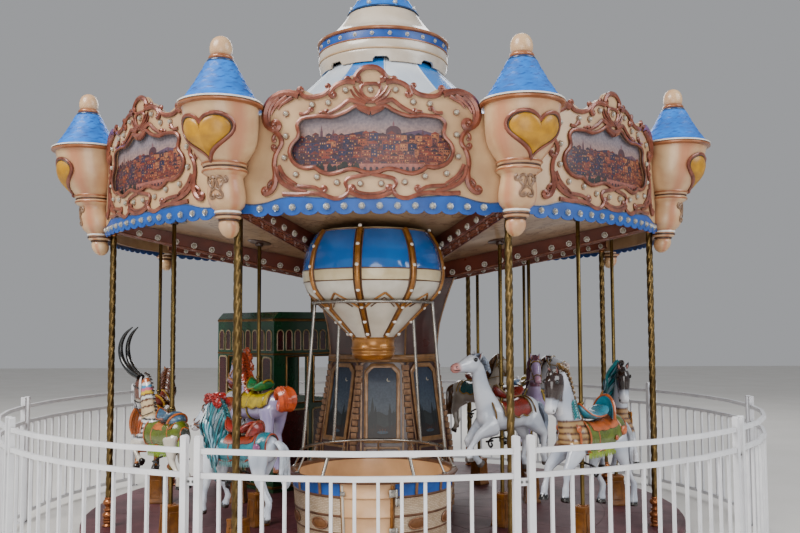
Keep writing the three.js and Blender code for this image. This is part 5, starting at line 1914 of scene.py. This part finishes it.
def waves(crest, reach, size, seed, sides):
    # Long wavy locks that hang past the chest; every third one goes to its own paint
    rng = random.Random(seed)
    path = smoothPath(crest, 4)
    groups = [[], [], []]
    for i, (x, z) in enumerate(path):
        for side in sides:
            fall = reach * rng.uniform(0.75, 1.0)
            swing, phase = rng.uniform(10, 20), rng.uniform(0, math.tau)
            shift = rng.uniform(-14, 14) + (150 - x) * 0.3
            line = []
            for k in range(10):
                t = k / 9
                out = 24 + 88 * min(t * 2.0, 1) + 8 * math.sin(t * 7 + phase)
                line.append((
                    x + shift * t + swing * math.sin(t * 9 + phase) * t, side * out, z + 8 - fall * t,
                    size * (1.1 - 0.75 * t * t)))
            groups[(i + (side > 0)) % 3].append(line)
    return [strands(lines, 6, 1.0, 2) for lines in groups]


def tailShape(kind, size, seed):
    rng = random.Random(seed)
    lines = []
    for i in range(9):
        side = (i - 4) * 6.5
        wave = rng.uniform(-14, 14)
        if kind == "short":
            lines.append([
                (-296, side * 0.4, 60, size), (-330, side * 0.8, 52, size * 1.1), (-346, side, 10, size),
                (-344 + wave * 0.3, side, -40, size * 0.7), (-340, side * 0.7, -74, size * 0.3)])
        elif kind == "curled":
            lines.append([
                (-290, side * 0.6, 50, size * 1.6), (-312, side * 1.2, 104 + wave * 0.4, size * 1.9),
                (-352 + wave * 0.3, side * 1.7, 136 + wave, size * 1.9),
                (-396, side * 1.9, 112, size * 2.0),
                (-412 + wave * 0.4, side * 1.9, 58 + wave * 0.5, size * 2.0),
                (-388, side * 1.7, 12, size * 1.8), (-350, side * 1.3, 10 + wave * 0.4, size * 1.7),
                (-342, side, 52, size * 1.6), (-372, side, 74, size * 1.4)])
        else:
            lines.append([
                (-300, side * 0.3, 62, size * 0.8), (-345, side * 0.6, 66 + wave * 0.2, size * 1.1),
                (-388 + wave * 0.3, side, 20, size * 1.2),
                (-402 - wave * 0.4, side * 1.3, -60, size * 1.2),
                (-392 + wave * 0.8, side * 1.5, -140, size),
                (-410 + wave * 0.3, side * 1.2, -205, size * 0.7),
                (-398 + wave * 0.3, side, -240, size * 0.3)])
    return strands(lines, 6, 1.0, 3)


def bodyRing(x, lift, size, lean=0.0, low=-180, high=180):
    line = []
    for i in range(33):
        turn = math.radians(low + (high - low) * i / 32)
        px, py, pz = onBack(x + lean * math.cos(turn), turn, lift)
        line.append((px, py, pz, size))
    return line


def headRing(head, index, grow, size):
    stations = headStations(head)
    x, z, tall, wide = stations[index]
    before, after = stations[index - 1], stations[index + 1]
    along = Vector((after[0] - before[0], 0, after[1] - before[1])).normalized()
    upright = along.cross(Vector((0, 1, 0))).normalized()
    line = []
    for i in range(25):
        turn = math.tau * i / 24
        spot = Vector((x, 0, z)) + upright * (tall + grow) * math.cos(turn) + Vector(
            (0, (wide + grow) * math.sin(turn), 0))
        line.append((*spot, size))
    return line


# Gelcoat skin painted by hand and waxed: glossy over soft colour changes
coatGelcoat = finish("coatGelcoat", {
    "base": "ffffff", "shade": "dfe1e6", "rough": 0.2, "coat": 0.7, "mottle": 120, "creviceShade": 0.55,
    "creviceShadeColour": "5f5148", "reach": 50, "bump": 0.04}, painted)
eyeGloss = finish("eyeGloss", {
    "base": "16181c", "shade": "0b0c0f", "rough": 0.08, "coat": 0.9, "mottle": 20, "bump": 0.02})
blackEnamel = finish("blackEnamel", {
    "base": "24211f", "shade": "161412", "rough": 0.25, "coat": 0.4, "mottle": 40, "bump": 0.08})
# Paints of the carved dress: each is brushed gelcoat with painted shade in the hollows
dressPaints = {}


def dressPaint(hexText):
    if hexText not in dressPaints:
        deep = "".join(f"{int(int(hexText[i:i + 2], 16) * 0.78):02x}" for i in (0, 2, 4))
        dressPaints[hexText] = finish(f"dressPaint_{hexText}", {
            "base": hexText, "shade": deep, "rough": 0.26, "coat": 0.5, "mottle": 50, "creviceShade": 0.75,
            "creviceShadeColour": "2a1c14", "reach": 22, "bump": 0.1})
    return dressPaints[hexText]


animals = {
    "inner_horse_1": {
        "coat": "dfe4ec", "shade": "b9c3d2", "muzzle": "cf8f88", "hoof": "5b5450", "mane": "8f9bae",
        "tail": "97a3b5", "maneLength": 40, "maneSpan": 3, "blanket": "8f2f24", "trim": "80602a",
        "seat": "7c2018"},
    "inner_horse_2": {
        "coat": "b09dbf", "shade": "8f78a4", "muzzle": "b9889a", "hoof": "6a4a3c", "mane": "6b3e50",
        "tail": "7a4c5e", "maneLength": 95, "blanket": "4a7ab0", "trim": "c9ab34", "seat": "bd9f2f",
        "bridle": "9c7a30",
        "bands": [(0.3, "9a7aa8"), (0.26, "6f4357"), (0.2, "a98ab6"), (0.16, "6f4357")]},
    "inner_horse_3": {
        "coat": "cfc7ba", "shade": "a99d8c", "muzzle": "b98a78", "hoof": "3d332d", "mane": "6a4628",
        "tail": "6a4628", "maneLength": 90, "blanket": "2f6a72", "trim": "bd9238", "seat": "8a3426",
        "bridle": "9c7a30"},
    "inner_horse_4": {
        "coat": "d9d6d0", "shade": "b3b2b4", "muzzle": "c08d82", "hoof": "5b5450", "mane": "b08d4c",
        "tail": "b08d4c", "maneLength": 100, "blanket": "7a3050", "trim": "c09f44", "seat": "2f5f8c",
        "bridle": "8a5a2c"},
    "inner_horse_5": {
        "coat": "d6dae0", "shade": "aeb8c6", "muzzle": "c08f86", "hoof": "4a423d", "mane": "a04f2e",
        "tail": "a04f2e", "maneLength": 85, "blanket": "3c7c46", "trim": "c4ab46", "seat": "a0402a",
        "bridle": "7a4c28"},
    "inner_horse_6": {
        "coat": "b3a9cf", "shade": "9187b2", "muzzle": "b98aa4", "hoof": "8f5226", "mane": "b8441f",
        "tail": "dc5a2c", "tailKind": "curled", "maneLength": 70, "blanket": "c8ac08", "from": -262,
        "trim": "9c8012", "seat": "1f8a52", "bridle": "b87838", "headgear": "b8502c"},
    "outer_horse_1": {
        "coat": "cdd2dc", "shade": "a3acbd", "muzzle": "e6e8ec", "hoof": "141211", "mane": "7c5a24",
        "tail": "c9ced8", "maneLength": 30, "maneSize": 10, "blanket": "5f6f1e", "from": -312,
        "drop": 132, "trim": "c0602a", "seat": "2f8ca4", "dome": 150, "face": "2a1814",
        "armour": ("b8935e", "5c3624"), "leaf": "1f7f86", "fringe": "a9c81e", "fringeLength": 44,
        "boss": "c0602a"},
    "outer_horse_2": {
        "coat": "c6ccd6", "shade": "9ea7b8", "muzzle": "e6e8ec", "hoof": "141211", "mane": "2f1f1a",
        "tail": "c9ced8", "maneLength": 270, "crestLength": 24, "lockSides": (-1,),
        "locks": ("1f7f86", "164f5a", "8fb6c6"), "blanket": "1f6f78", "from": -300, "drop": 128,
        "trim": "b87a30", "seat": "2a7c8c", "dome": 140, "face": "241512", "armour": ("ae8655", "5c3828"),
        "fringe": "8fb42a", "fringeLength": 44, "boss": "b87a30"},
    "outer_horse_3": {
        "coat": "cfd2d8", "shade": "a8b0bc", "muzzle": "d9c4ba", "hoof": "1d1a19", "mane": "4a2c1e",
        "tail": "5a3826", "maneLength": 90, "blanket": "6a2f26", "from": -290, "drop": 124,
        "trim": "bd8a34", "seat": "396a9c", "dome": 96, "bridle": "a07e30",
        "armour": ("b8935e", "42606c"), "fringe": "b87a26", "fringeLength": 44},
    "outer_horse_4": {
        "coat": "d6d3cb", "shade": "aca79b", "muzzle": "c4968a", "hoof": "2b2523", "mane": "a0763a",
        "tail": "a0763a", "maneLength": 95, "blanket": "2f5c88", "from": -280, "drop": 120,
        "trim": "c4a246", "seat": "94362c", "dome": 90, "bridle": "7a4c28", "fringe": "c4a246",
        "fringeLength": 40},
    "outer_horse_5": {
        "coat": "d6dce6", "shade": "a9b6c8", "muzzle": "dcd6da", "hoof": "241c18", "mane": "1a7c86",
        "tail": "c2ccd8", "maneLength": 430, "crestLength": 40, "locks": ("1a7c86", "14505c", "86b4c8"),
        "blanket": "1f7c8c", "from": -290, "drop": 124, "trim": "94391f", "seat": "94281f", "dome": 96,
        "bridle": "7a4624", "headgear": "a01f1c", "boss": "9c5a8a", "fringe": "6fb4b8",
        "fringeLength": 44},
    "outer_horse_6": {
        "coat": "b06a24", "shade": "7f4416", "muzzle": "c9a482", "hoof": "241c18", "mane": "5a2f18",
        "tail": "a84c1c", "maneLength": 110, "blanket": "b8471c", "from": -290, "drop": 122,
        "trim": "c79a34", "seat": "7a2c1c", "dome": 92, "bridle": "5a3018", "fringe": "c79a34",
        "fringeLength": 44},
    "antelope": {
        "coat": "d9d1c3", "shade": "aea493", "muzzle": "d3d5db", "hoof": "100f0f", "mane": "33231a",
        "tail": "39423c", "tailKind": "short", "maneLength": 14, "maneSize": 7, "blanket": "5c6a16",
        "from": -325, "drop": 136, "trim": "bf6426", "seat": "4a6f8c", "dome": 76, "seatShift": -70,
        "bridle": "1e1512", "face": "5c2f1c", "armour": ("dfdfe0", "191615"), "fringe": "9cc41c",
        "fringeLength": 92, "horns": "15191a", "beard": "c0621c", "ears": "dedfe2",
        "bands": [
            (0.44, "a8541f"), (0.415, "dcdcd6"), (0.39, "3f86ae"), (0.365, "c8667c"), (0.34, "d9b52c"),
            (0.322, "5a3320"), (0.296, "dcdcd6"), (0.278, "5a3320"), (0.236, "cdb48c"), (0.218, "5a3320"),
            (0.135, "cdb48c")]}}
skins = {}


def headParts(look, head, seed):
    # Mane, forelock, ears, eyes, mouth and bridle of one figure
    mane = dressPaint(look["mane"])
    crest = necks[head]["crest"]
    parts = []
    if "locks" in look:
        made = waves(crest, look["maneLength"], 12, seed, look.get("lockSides", (1, -1)))
        parts += [(lock, dressPaint(paint)) for lock, paint in zip(made, look["locks"])]
    crestLength = look.get("crestLength", min(look["maneLength"], 110))
    hairy = crest[:look.get("maneSpan", len(crest))]
    parts.append((locks(hairy, crestLength, look.get("maneSize", 12), seed), mane))
    forelock = [
        [
            (x, s * y, z, r) for (x, z),
            y,
            r in (
                (facePoint(head, -3, 51), 8, 11), (facePoint(head, 30, 57), 14, 10),
                (facePoint(head, 64, 48), 18, 4))] for s in (-1, 0, 1)]
    parts.append((strands(forelock, 6, 1.0, 3), dressPaint(look.get("face", look["mane"]))))
    steep = necks[head]["tilt"] > 50
    earPaint = dressPaint(look.get("ears", look.get("face", look["coat"])))
    for side in (-1, 1):
        if "ears" in look:
            droop = [
                [
                    (300, side * 40, 470, 8), (286, side * 80, 440, 15), (276, side * 92, 370, 18),
                    (290, side * 84, 300, 7)]]
            parts.append((strands(droop, 8, 0.5, 3), earPaint))
        else:
            spot = facePoint(head, -10, 22) if steep else facePoint(head, -2, 39)
            outer, inner = earShape(side, spot, (necks[head]["tilt"] - 24) * 0.5)
            parts += [(outer, earPaint), (inner, dressPaint("b9807a"))]
        eye = bmesh.new()
        bulk = necks[head]["bulk"]
        ex, ez = facePoint(head, 62, 28 * bulk)
        eyeSide = 38 * bulk
        at = Matrix.Translation((ex / 1000, side * eyeSide / 1000, ez / 1000))
        bmesh.ops.create_uvsphere(
            eye, u_segments=12, v_segments=8, radius=0.012,
            matrix=at @ Matrix.Diagonal((1.25, 0.8, 1, 1)))
        parts.append((eye, eyeGloss))
        nx, nz = facePoint(head, 237, 9)
        lid = [
            (
                ex + 16 * math.cos(math.tau * i / 12), side * (eyeSide + 3),
                ez + 12 * math.sin(math.tau * i / 12), 3.4) for i in range(13)]
        nostril = [
            (
                nx + 6 * math.cos(math.tau * i / 8), side * 27 * bulk,
                nz + 7 * math.sin(math.tau * i / 8), 2.6) for i in range(9)]
        mouth = [
            (x, side * y * bulk, z, r) for (x, z),
            y,
            r in (
                (facePoint(head, 260, -4), 12, 2.4), (facePoint(head, 246, -11), 28, 2.6),
                (facePoint(head, 212, -15), 31, 2.2))]
        parts.append((strands([lid, nostril, mouth], 4, 1.0, 1), blackEnamel))
    if "bridle" in look:
        reins = []
        for side in (-1, 1):
            bit, cheek, top = (facePoint(head, *spot) for spot in ((211, 2), (55, -20), (11, 25)))
            reins.append([
                (bit[0], side * 34, bit[1], 4), (cheek[0], side * 46, cheek[1], 4.5),
                (top[0], side * 36, top[1], 4.5)])
            reins.append([
                (bit[0], side * 36, bit[1], 4), (250, side * 72, 176, 4), (170, side * 84, 150, 4),
                (98, side * 30, 190, 4)])
        parts.append((
            strands([headRing(head, 5, 4, 5), headRing(head, 2, 4, 5), *reins], 6, 1.0, 1),
            dressPaint(look["bridle"])))
    return parts


def saddleParts(look):
    # Blanket, fringe, saddle and straps, all of them lying on the torso
    trim = dressPaint(look["trim"])
    drop, low = look.get("drop", 88), look.get("from", -165)
    parts = [
        (blanket(low, 118, drop, 9, 0.1), dressPaint(look["blanket"])),
        (blanketEdge(low, 118, drop, 12, 0.1, 6), trim)]
    if "fringe" in look:
        parts.append((
            fringe(low + 12, 106, drop, 11, look["fringeLength"], 26), dressPaint(look["fringe"])))
    saddle = [(saddleShape(), dressPaint(look["seat"]))]
    edge = [
        [
            (-70, -88, 148, 5), (0, -92, 140, 5), (60, -72, 156, 5), (98, -26, 206, 6), (103, 0, 222, 7),
            (98, 26, 206, 6), (60, 72, 156, 5), (0, 92, 140, 5), (-70, 88, 148, 5)]]
    if "dome" in look:
        saddle.append((dome(look["dome"]), dressPaint(look["seat"])))
        edge.append(domeRim(look["dome"]))
        saddle.append((blanket(-190, 70, 60, 14, 0.06), trim))
    else:
        edge.append([
            (-138, -46, 184, 7), (-140, -30, 200, 8), (-141, 0, 208, 8), (-140, 30, 200, 8),
            (-138, 46, 184, 7)])
    saddle.append((strands(edge, 6, 1.0, 2), trim))
    back = Matrix.Translation((look.get("seatShift", 0) / 1000, 0, 0))
    parts += [(moved(mesh, back), paint) for mesh, paint in saddle]
    parts.append((
        strands([
            bodyRing(20, 5, 7, 0), bodyRing(-215, 6, 6, 18, -130, 130), bodyRing(196, 7, 8, 10)], 6, 1.0,
        1), trim))
    if "boss" in look:
        studs = bmesh.new()
        for x, turn, size in (
                (-232, 84, 32), (-232, -84, 32), (-150, 96, 18), (-150, -96, 18), (205, 62, 24),
                (205, -62, 24)):
            spot = Vector(onBack(x, math.radians(turn), 14)) / 1000
            at = Matrix.Translation(spot) @ Matrix.Diagonal((1, 0.4, 1, 1))
            bmesh.ops.create_icosphere(studs, subdivisions=2, radius=size / 1000, matrix=at)
        parts.append((studs, dressPaint(look["boss"])))
    if "leaf" in look:
        leaves = []
        for side in (-1, 1):
            for k in range(7):
                x, z, out = 214 - k * 2, 250 - k * 15, 50 + k * 2.6
                leaves.append([
                    (x - 26, side * out, z - 24, 4), (x, side * (out + 4), z, 9),
                    (x + 26, side * (out - 2), z - 26, 4)])
        parts.append((strands(leaves, 6, 1.0, 3), dressPaint(look["leaf"])))
    return parts


def headgearParts(look, head):
    # Carved roses on both sides of the crest
    crest = smoothPath(necks[head]["crest"], 3)
    roses = []
    for k in range(8):
        x, z = crest[min(k, len(crest) - 1)]
        for side in (-1, 1):
            middle = Vector((x - 4, side * (34 + 8 * math.sin(k * 2.1)), z + 8 + 14 * math.sin(k * 1.7)))
            for turn in range(5):
                angle = math.radians(72 * turn + 30 * k)
                lean = Vector((math.cos(angle), 0, math.sin(angle))) * 21
                petal = middle + lean
                roses.append([
                    (*(petal - lean.cross(Vector((0, 1, 0))) * 0.9), 7),
                    (*(petal + Vector((0, side * 12, 0))), 15),
                    (*(petal + lean.cross(Vector((0, 1, 0))) * 0.9), 7)])
            roses.append([(*middle, 17), (*(middle + Vector((0, side * 22, 0))), 9)])
    return [(strands(roses, 6, 1.0, 2), dressPaint(look["headgear"]))]


def hornParts(look):
    horns = [
        [
            (350, s * 18, 470, 22), (440, s * 24, 500, 26), (525, s * 30, 548, 25),
            (596, s * 34, 616, 24), (626, s * 36, 700, 22), (610, s * 35, 776, 19),
            (548, s * 32, 848, 14), (448, s * 27, 904, 5)] for s in (-1, 1)]
    beard = [
        [
            (392, s, 196, 11), (420, s * 1.4, 150, 15), (446, s * 1.5, 84, 15), (452, s * 1.3, 20, 12),
            (438, s, -34, 5)] for s in (-20, -7, 7, 20)]
    return [
        (strands(horns, 8, 1.0, 4), dressPaint(look["horns"])),
        (strands(beard, 6, 1.0, 3), dressPaint(look["beard"]))]


def animalMesh(name):
    rider = riders[name]
    look = dict(animals[name], legs=rider["legs"], head=rider["head"])
    key = (rider["legs"], rider["head"])
    if key not in skins:
        skin = bodySkin(*key)
        skins[key] = bpy.data.meshes.new("skin")
        skin.to_mesh(skins[key])
        skin.free()
    body = bmesh.new()
    body.from_mesh(skins[key])
    seed = len(name) + int(rider["azimuth"])
    parts = [
        (paintBody(body, look), coatGelcoat),
        (tailShape(look.get("tailKind", "long"), 15, seed), dressPaint(look["tail"]))]
    parts += headParts(look, rider["head"], seed) + saddleParts(look)
    if "headgear" in look:
        parts += headgearParts(look, rider["head"])
    if "horns" in look:
        parts += hornParts(look)
    size = rider["size"]
    facing = Matrix.Rotation(math.radians(rider["turned"]), 4, "Z")
    fitted = facing @ Matrix.Translation((rider["reach"] / 1000, 0, 0)) @ Matrix.Scale(size, 4)
    parts = [(moved(mesh, fitted), paint) for mesh, paint in parts]
    rests = []
    under = -140 * size
    for side in (-1, 1):
        rests.append([
            (0, 0, under - 10, 8), (6, side * 60, under - 20, 8), (4, side * 112, under - 36, 8),
            (0, side * 140, under - 74, 8), (0, side * 120, under - 104, 8),
            (0, side * 98, under - 86, 7), (0, side * 110, under - 68, 6)])
        rests.append([(-44, side * 128, under - 56, 9), (44, side * 128, under - 56, 9)])
    parts.append((strands(rests, 6, 1.0, 3), blackEnamel))
    low = animalSizes["poleFoot"] - rider["height"]
    high = ceilingHeight(rider["ring"]) + 160 - rider["height"]
    r = animalSizes["poleRadius"]
    over = 214 * size
    pole = turned([
        (0, low), (r, low), (r, under - 30), (r + 7, under - 26), (r + 9, under - 16), (r + 6, under - 6),
        (r, under - 2), (r, over), (r + 6, over + 4), (r + 8, over + 11), (r + 5, over + 19),
        (r, over + 23), (r, high - 3), (r - 2, high), (0, high)], 20)
    parts.append((pole, smoothBrass))
    return joined(parts, 50)


for name, rider in riders.items():
    place = outward(rider["azimuth"], rider["ring"], rider["height"]) @ Matrix.Rotation(math.pi, 4, "Z")
    mesh = animalMesh(name)
    mesh.transform(place)
    addPiece(f"carved_{name}", mesh, name, [name])
print("animals done")


# Coach: smooth gelcoat shell with raised maroon panels in cream mouldings and gold window frames
coachLook = {"ring": 1600, "azimuth": -135, "panelCorner": 34, "windowLow": 974, "windowHigh": 1436,
             "archLow": 1500, "archHigh": 1700, "archCount": 8}
coachGreen = finish("coachGreen", {
    "base": "0c4a28", "shade": "08391d", "rough": 0.28, "coat": 0.3, "creviceShade": 0.5, "mottle": 300})
coachMaroon = finish("coachMaroon", {
    "base": "4a1214", "shade": "360b09", "rough": 0.25, "coat": 0.4, "creviceShade": 0.4})
coachCream = finish("coachCream", {
    "base": "b9a67e", "shade": "9c8862", "rough": 0.32, "coat": 0.2, "creviceShade": 0.6, "reach": 14})
coachGold = finish("coachGold", {
    "base": "86602a", "shade": "65451a", "rough": 0.34, "metal": 0.6, "creviceShade": 0.6, "reach": 14})
dress(coachGreen, "coach")
coachPlace = outward(coachLook["azimuth"], coachLook["ring"])


def roundedOutline(wide, low, high, corner):
    points = []
    for turn, (x, z) in enumerate(((wide - corner, low + corner), (wide - corner, high - corner),
                                   (corner - wide, high - corner), (corner - wide, low + corner))):
        for k in range(5):
            angle = math.radians(turn * 90 - 90 + k * 22.5)
            points.append((x + corner * math.cos(angle), z + corner * math.sin(angle)))
    return points


def framedPanel(middle, half, low, high, corner):
    # A raised panel and the round moulding on its edge, in the face's own plane
    outline = [(middle + x, z) for x, z in roundedOutline(half, low, high, corner)]
    panel = softened(slab(outline, -7, 0), 3)
    edge = strands([[(x, -5, z, 9) for x, z in outline + outline[:2]]], 6, 1.0, 1)
    return panel, edge


def archRow(half, count, low, high):
    # Small arched openings side by side, drawn as dark recess plates that stand in as painted shade for the
    # openings, with pale round trims
    pitch = 2 * half / count
    plates = []
    trims = []
    for i in range(count):
        x = (i + 0.5) * pitch - half
        wide = pitch * 0.34
        top = high - wide
        arch = [(x - wide, low), (x + wide, low), *arc(x, top, wide, wide, range(0, 181, 30))]
        plates.append(slab(arch, -3, 0))
        trims.append([(px, -4, pz, 6) for px, pz in arch + arch[:1]])
    return plates, strands(trims, 6, 1.0, 1)


def windowFrame(middle, half, low, high):
    corners = [(middle - half, low), (middle + half, low), (middle + half, high), (middle - half, high)]
    return strands([[(x, -5, z, 11) for x, z in corners + corners[:2]]], 6, 1.0, 1)


def coachFace(turn, reach):
    return Matrix.Rotation(math.radians(turn), 4, "Z") @ Matrix.Translation((0, -reach / 1000, 0))


coachParts = []
# Each face: turn, half depth of the coach there, half length, panels (middle, half width, low, high)
# and windows (middle, half width)
coachFaces = [
    (0, 500, 450, [
        (-365, 62, 230, 900), (365, 62, 230, 900), (-365, 62, 960, 1430), (365, 62, 960, 1430)], []),
    (180, 500, 450, [(-212, 180, 230, 910), (212, 180, 230, 910)], [(-170, 131), (170, 131)]),
    (90, 450, 500, [
        (-225, 190, 230, 910), (225, 190, 230, 910), (-390, 70, 980, 1430), (390, 70, 980, 1430)],
    [(0, 286)]),
    (-90, 450, 500, [
        (-225, 190, 230, 910), (225, 190, 230, 910), (-390, 70, 980, 1430), (390, 70, 980, 1430)],
    [(0, 286)])]
for turn, reach, half, panels, windows in coachFaces:
    wall = coachFace(turn, reach)
    for middle, wide, low, high in panels:
        panel, edge = framedPanel(middle, wide, low, high, coachLook["panelCorner"])
        coachParts += [(moved(panel, wall), coachMaroon), (moved(edge, wall), coachCream)]
    for middle, wide in windows:
        window = windowFrame(middle, wide, coachLook["windowLow"], coachLook["windowHigh"])
        coachParts.append((moved(window, wall), coachGold))
    plates, trims = archRow(half - 20, coachLook["archCount"], coachLook["archLow"], coachLook["archHigh"])
    coachParts += [(moved(plate, wall), coachMaroon) for plate in plates]
    coachParts.append((moved(trims, wall), coachCream))
    for height, size in ((168, 13), (1462, 9), (1800, 14)):
        rail = strands([[(-half + 4, -3, height, size), (half - 4, -3, height, size)]], 8, 0.7, 1)
        coachParts.append((moved(rail, wall), coachGold))
doorFrame = strands([
    [(-286, -5, 165, 12), (-286, -5, 1436, 12), (286, -5, 1436, 12), (286, -5, 165, 12)]], 6, 1.0, 1)
coachParts.append((moved(doorFrame, coachFace(0, 500)), coachGold))
addPiece("coach_mouldings", joined(coachParts), "turntable", matrix=coachPlace)
print("coach finished")


# Fence: welded steel in white powder coat, an even satin skin with a slight orange peel
fence = {
    "radius": 3235, "panels": 10, "pitch": 34, "firstJoint": -120, "post": 38, "height": 1100,
    "plateHeight": 850, "anchor": 31, "tie": 15}
fenceWhite = finish("fenceWhite", {
    "base": "e4e5e8", "shade": "d6d7db", "rough": 0.36, "grain": 3, "bump": 0.06, "creviceShade": 0.45,
    "creviceShadeColour": "6d655a", "reach": 24})
boltSteel = finish("boltSteel", {
    "base": "8d8f90", "shade": "6c6d6c", "rough": 0.38, "metal": 1.0, "grain": 2, "creviceShade": 0.3})
dress(fenceWhite, *[f"fence_panel_{i + 1}" for i in range(fence["panels"])])
cap = softened(slab([(-20, 0), (20, 0), (20, 5), (6, 12), (-6, 12), (-20, 5)], -20, 20), 2)
foot = softened(slab([(-42, 0), (42, 0), (42, 6), (-42, 6)], -42, 42), 1.5)
boltHead = turned([(0, 9), (7, 9), (8, 7), (8, 0), (0, 0)], 6)
capPlaces, footPlaces, anchorPlaces, tiePlaces = [], [], [], []
postShift = math.degrees(fence["post"] / fence["radius"]) * 1.2
for i in range(fence["panels"]):
    middle = fence["firstJoint"] + (i + 0.5) * fence["pitch"]
    for side in (-1, 1):
        azimuth = middle + side * (fence["pitch"] / 2 - postShift)
        capPlaces.append(outward(azimuth, fence["radius"], fence["height"] - 1))
        footPlaces.append(outward(azimuth, fence["radius"]))
        a = fence["anchor"]
        for x, y in ((-a, -a), (a, -a), (-a, a), (a, a)):
            anchorPlaces.append(
                outward(azimuth, fence["radius"], 5) @ Matrix.Translation((x / 1000, y / 1000, 0)))
    if i:
        for x in (-fence["tie"], fence["tie"]):
            joint = outward(middle - fence["pitch"] / 2, fence["radius"] + 3, fence["plateHeight"])
            tiePlaces.append(
                joint @ Matrix.Translation((x / 1000, 0, 0)) @ Matrix.Rotation(math.pi / 2, 4, "X"))
fenceParts = [(scattered(cap, capPlaces), fenceWhite), (scattered(foot, footPlaces), fenceWhite),
              (scattered(boltHead, anchorPlaces + tiePlaces), boltSteel)]
addPiece("fence_fittings", joined(fenceParts), "base")
groundGrey = finish("groundGrey", {
    "base": "54585a", "shade": "434748", "rough": 0.45, "creviceShade": 0.5, "mottle": 120})
dress(groundGrey, "ground_frame")
print("fence and ground frame finished")


# Floor, soft studio light and the camera at the photograph's angle

studio = {"floorSize": 60, "keyPower": 1900, "fillPower": 600, "frontPower": 240, "skyStrength": 0.46}

floorBm = bmesh.new()
bmesh.ops.create_grid(floorBm, x_segments=1, y_segments=1, size=studio["floorSize"] / 2)
floorFinish = finish("paleFloor", {
    "base": "dedbd6", "shade": "d8d5cf", "rough": 0.7, "mottle": 900, "grain": 60, "bump": 0.02})
floorMesh = joined([(floorBm, floorFinish)])
floor = bpy.data.objects.new("floor", floorMesh)
bpy.context.scene.collection.objects.link(floor)


def addLamp(name, place, target, size, power, tint):
    light = bpy.data.lights.new(name, "AREA")
    light.shape = "DISK"
    light.size = size
    light.energy = power
    light.color = tint
    lamp = bpy.data.objects.new(name, light)
    lamp.location = place
    lamp.rotation_euler = (Vector(target) - Vector(place)).to_track_quat("-Z", "Y").to_euler()
    bpy.context.scene.collection.objects.link(lamp)


addLamp("keyLight", (-7, -7, 10), (0, 0, 2), 7, studio["keyPower"], (1.0, 0.98, 0.95))
addLamp("fillLight", (8, -5, 7), (0, 0, 2), 7, studio["fillPower"], (0.95, 0.97, 1.0))
addLamp("frontLight", (0.5, -9.5, 2.2), (0, 0, 1.6), 5, studio["frontPower"], (1.0, 0.97, 0.94))
addLamp("backLight", (0, 10, 8), (0, 0, 2), 8, studio["fillPower"], (1.0, 1.0, 1.0))
world = bpy.data.worlds.new("studio")
world.use_nodes = True
world.node_tree.nodes["Background"].inputs["Color"].default_value = toLinear("e6e8ec")
world.node_tree.nodes["Background"].inputs["Strength"].default_value = studio["skyStrength"]
bpy.context.scene.world = world

view = {"place": (0.276, -8.119, 1.722), "heading": 1.949, "yaw": 1.059, "pitch": 3.979, "roll": -0.24,
        "focalPixels": 874.2, "widthPixels": 800}
lens = bpy.data.cameras.new("camera")
lens.sensor_width = 36
lens.lens = view["focalPixels"] / view["widthPixels"] * lens.sensor_width
camera = bpy.data.objects.new("camera", lens)
camera.location = view["place"]
yaw, pitch = math.radians(view["yaw"]), math.radians(view["pitch"])
forward = Matrix.Rotation(math.radians(view["heading"]), 3, "Z") @ Vector((
    math.sin(yaw) * math.cos(pitch), math.cos(yaw) * math.cos(pitch), math.sin(pitch)))
camera.rotation_euler = (forward.to_track_quat("-Z", "Y").to_matrix()
                         @ Matrix.Rotation(math.radians(view["roll"]), 3, "Z")).to_euler()
bpy.context.scene.collection.objects.link(camera)
bpy.context.scene.camera = camera
print("stage set")
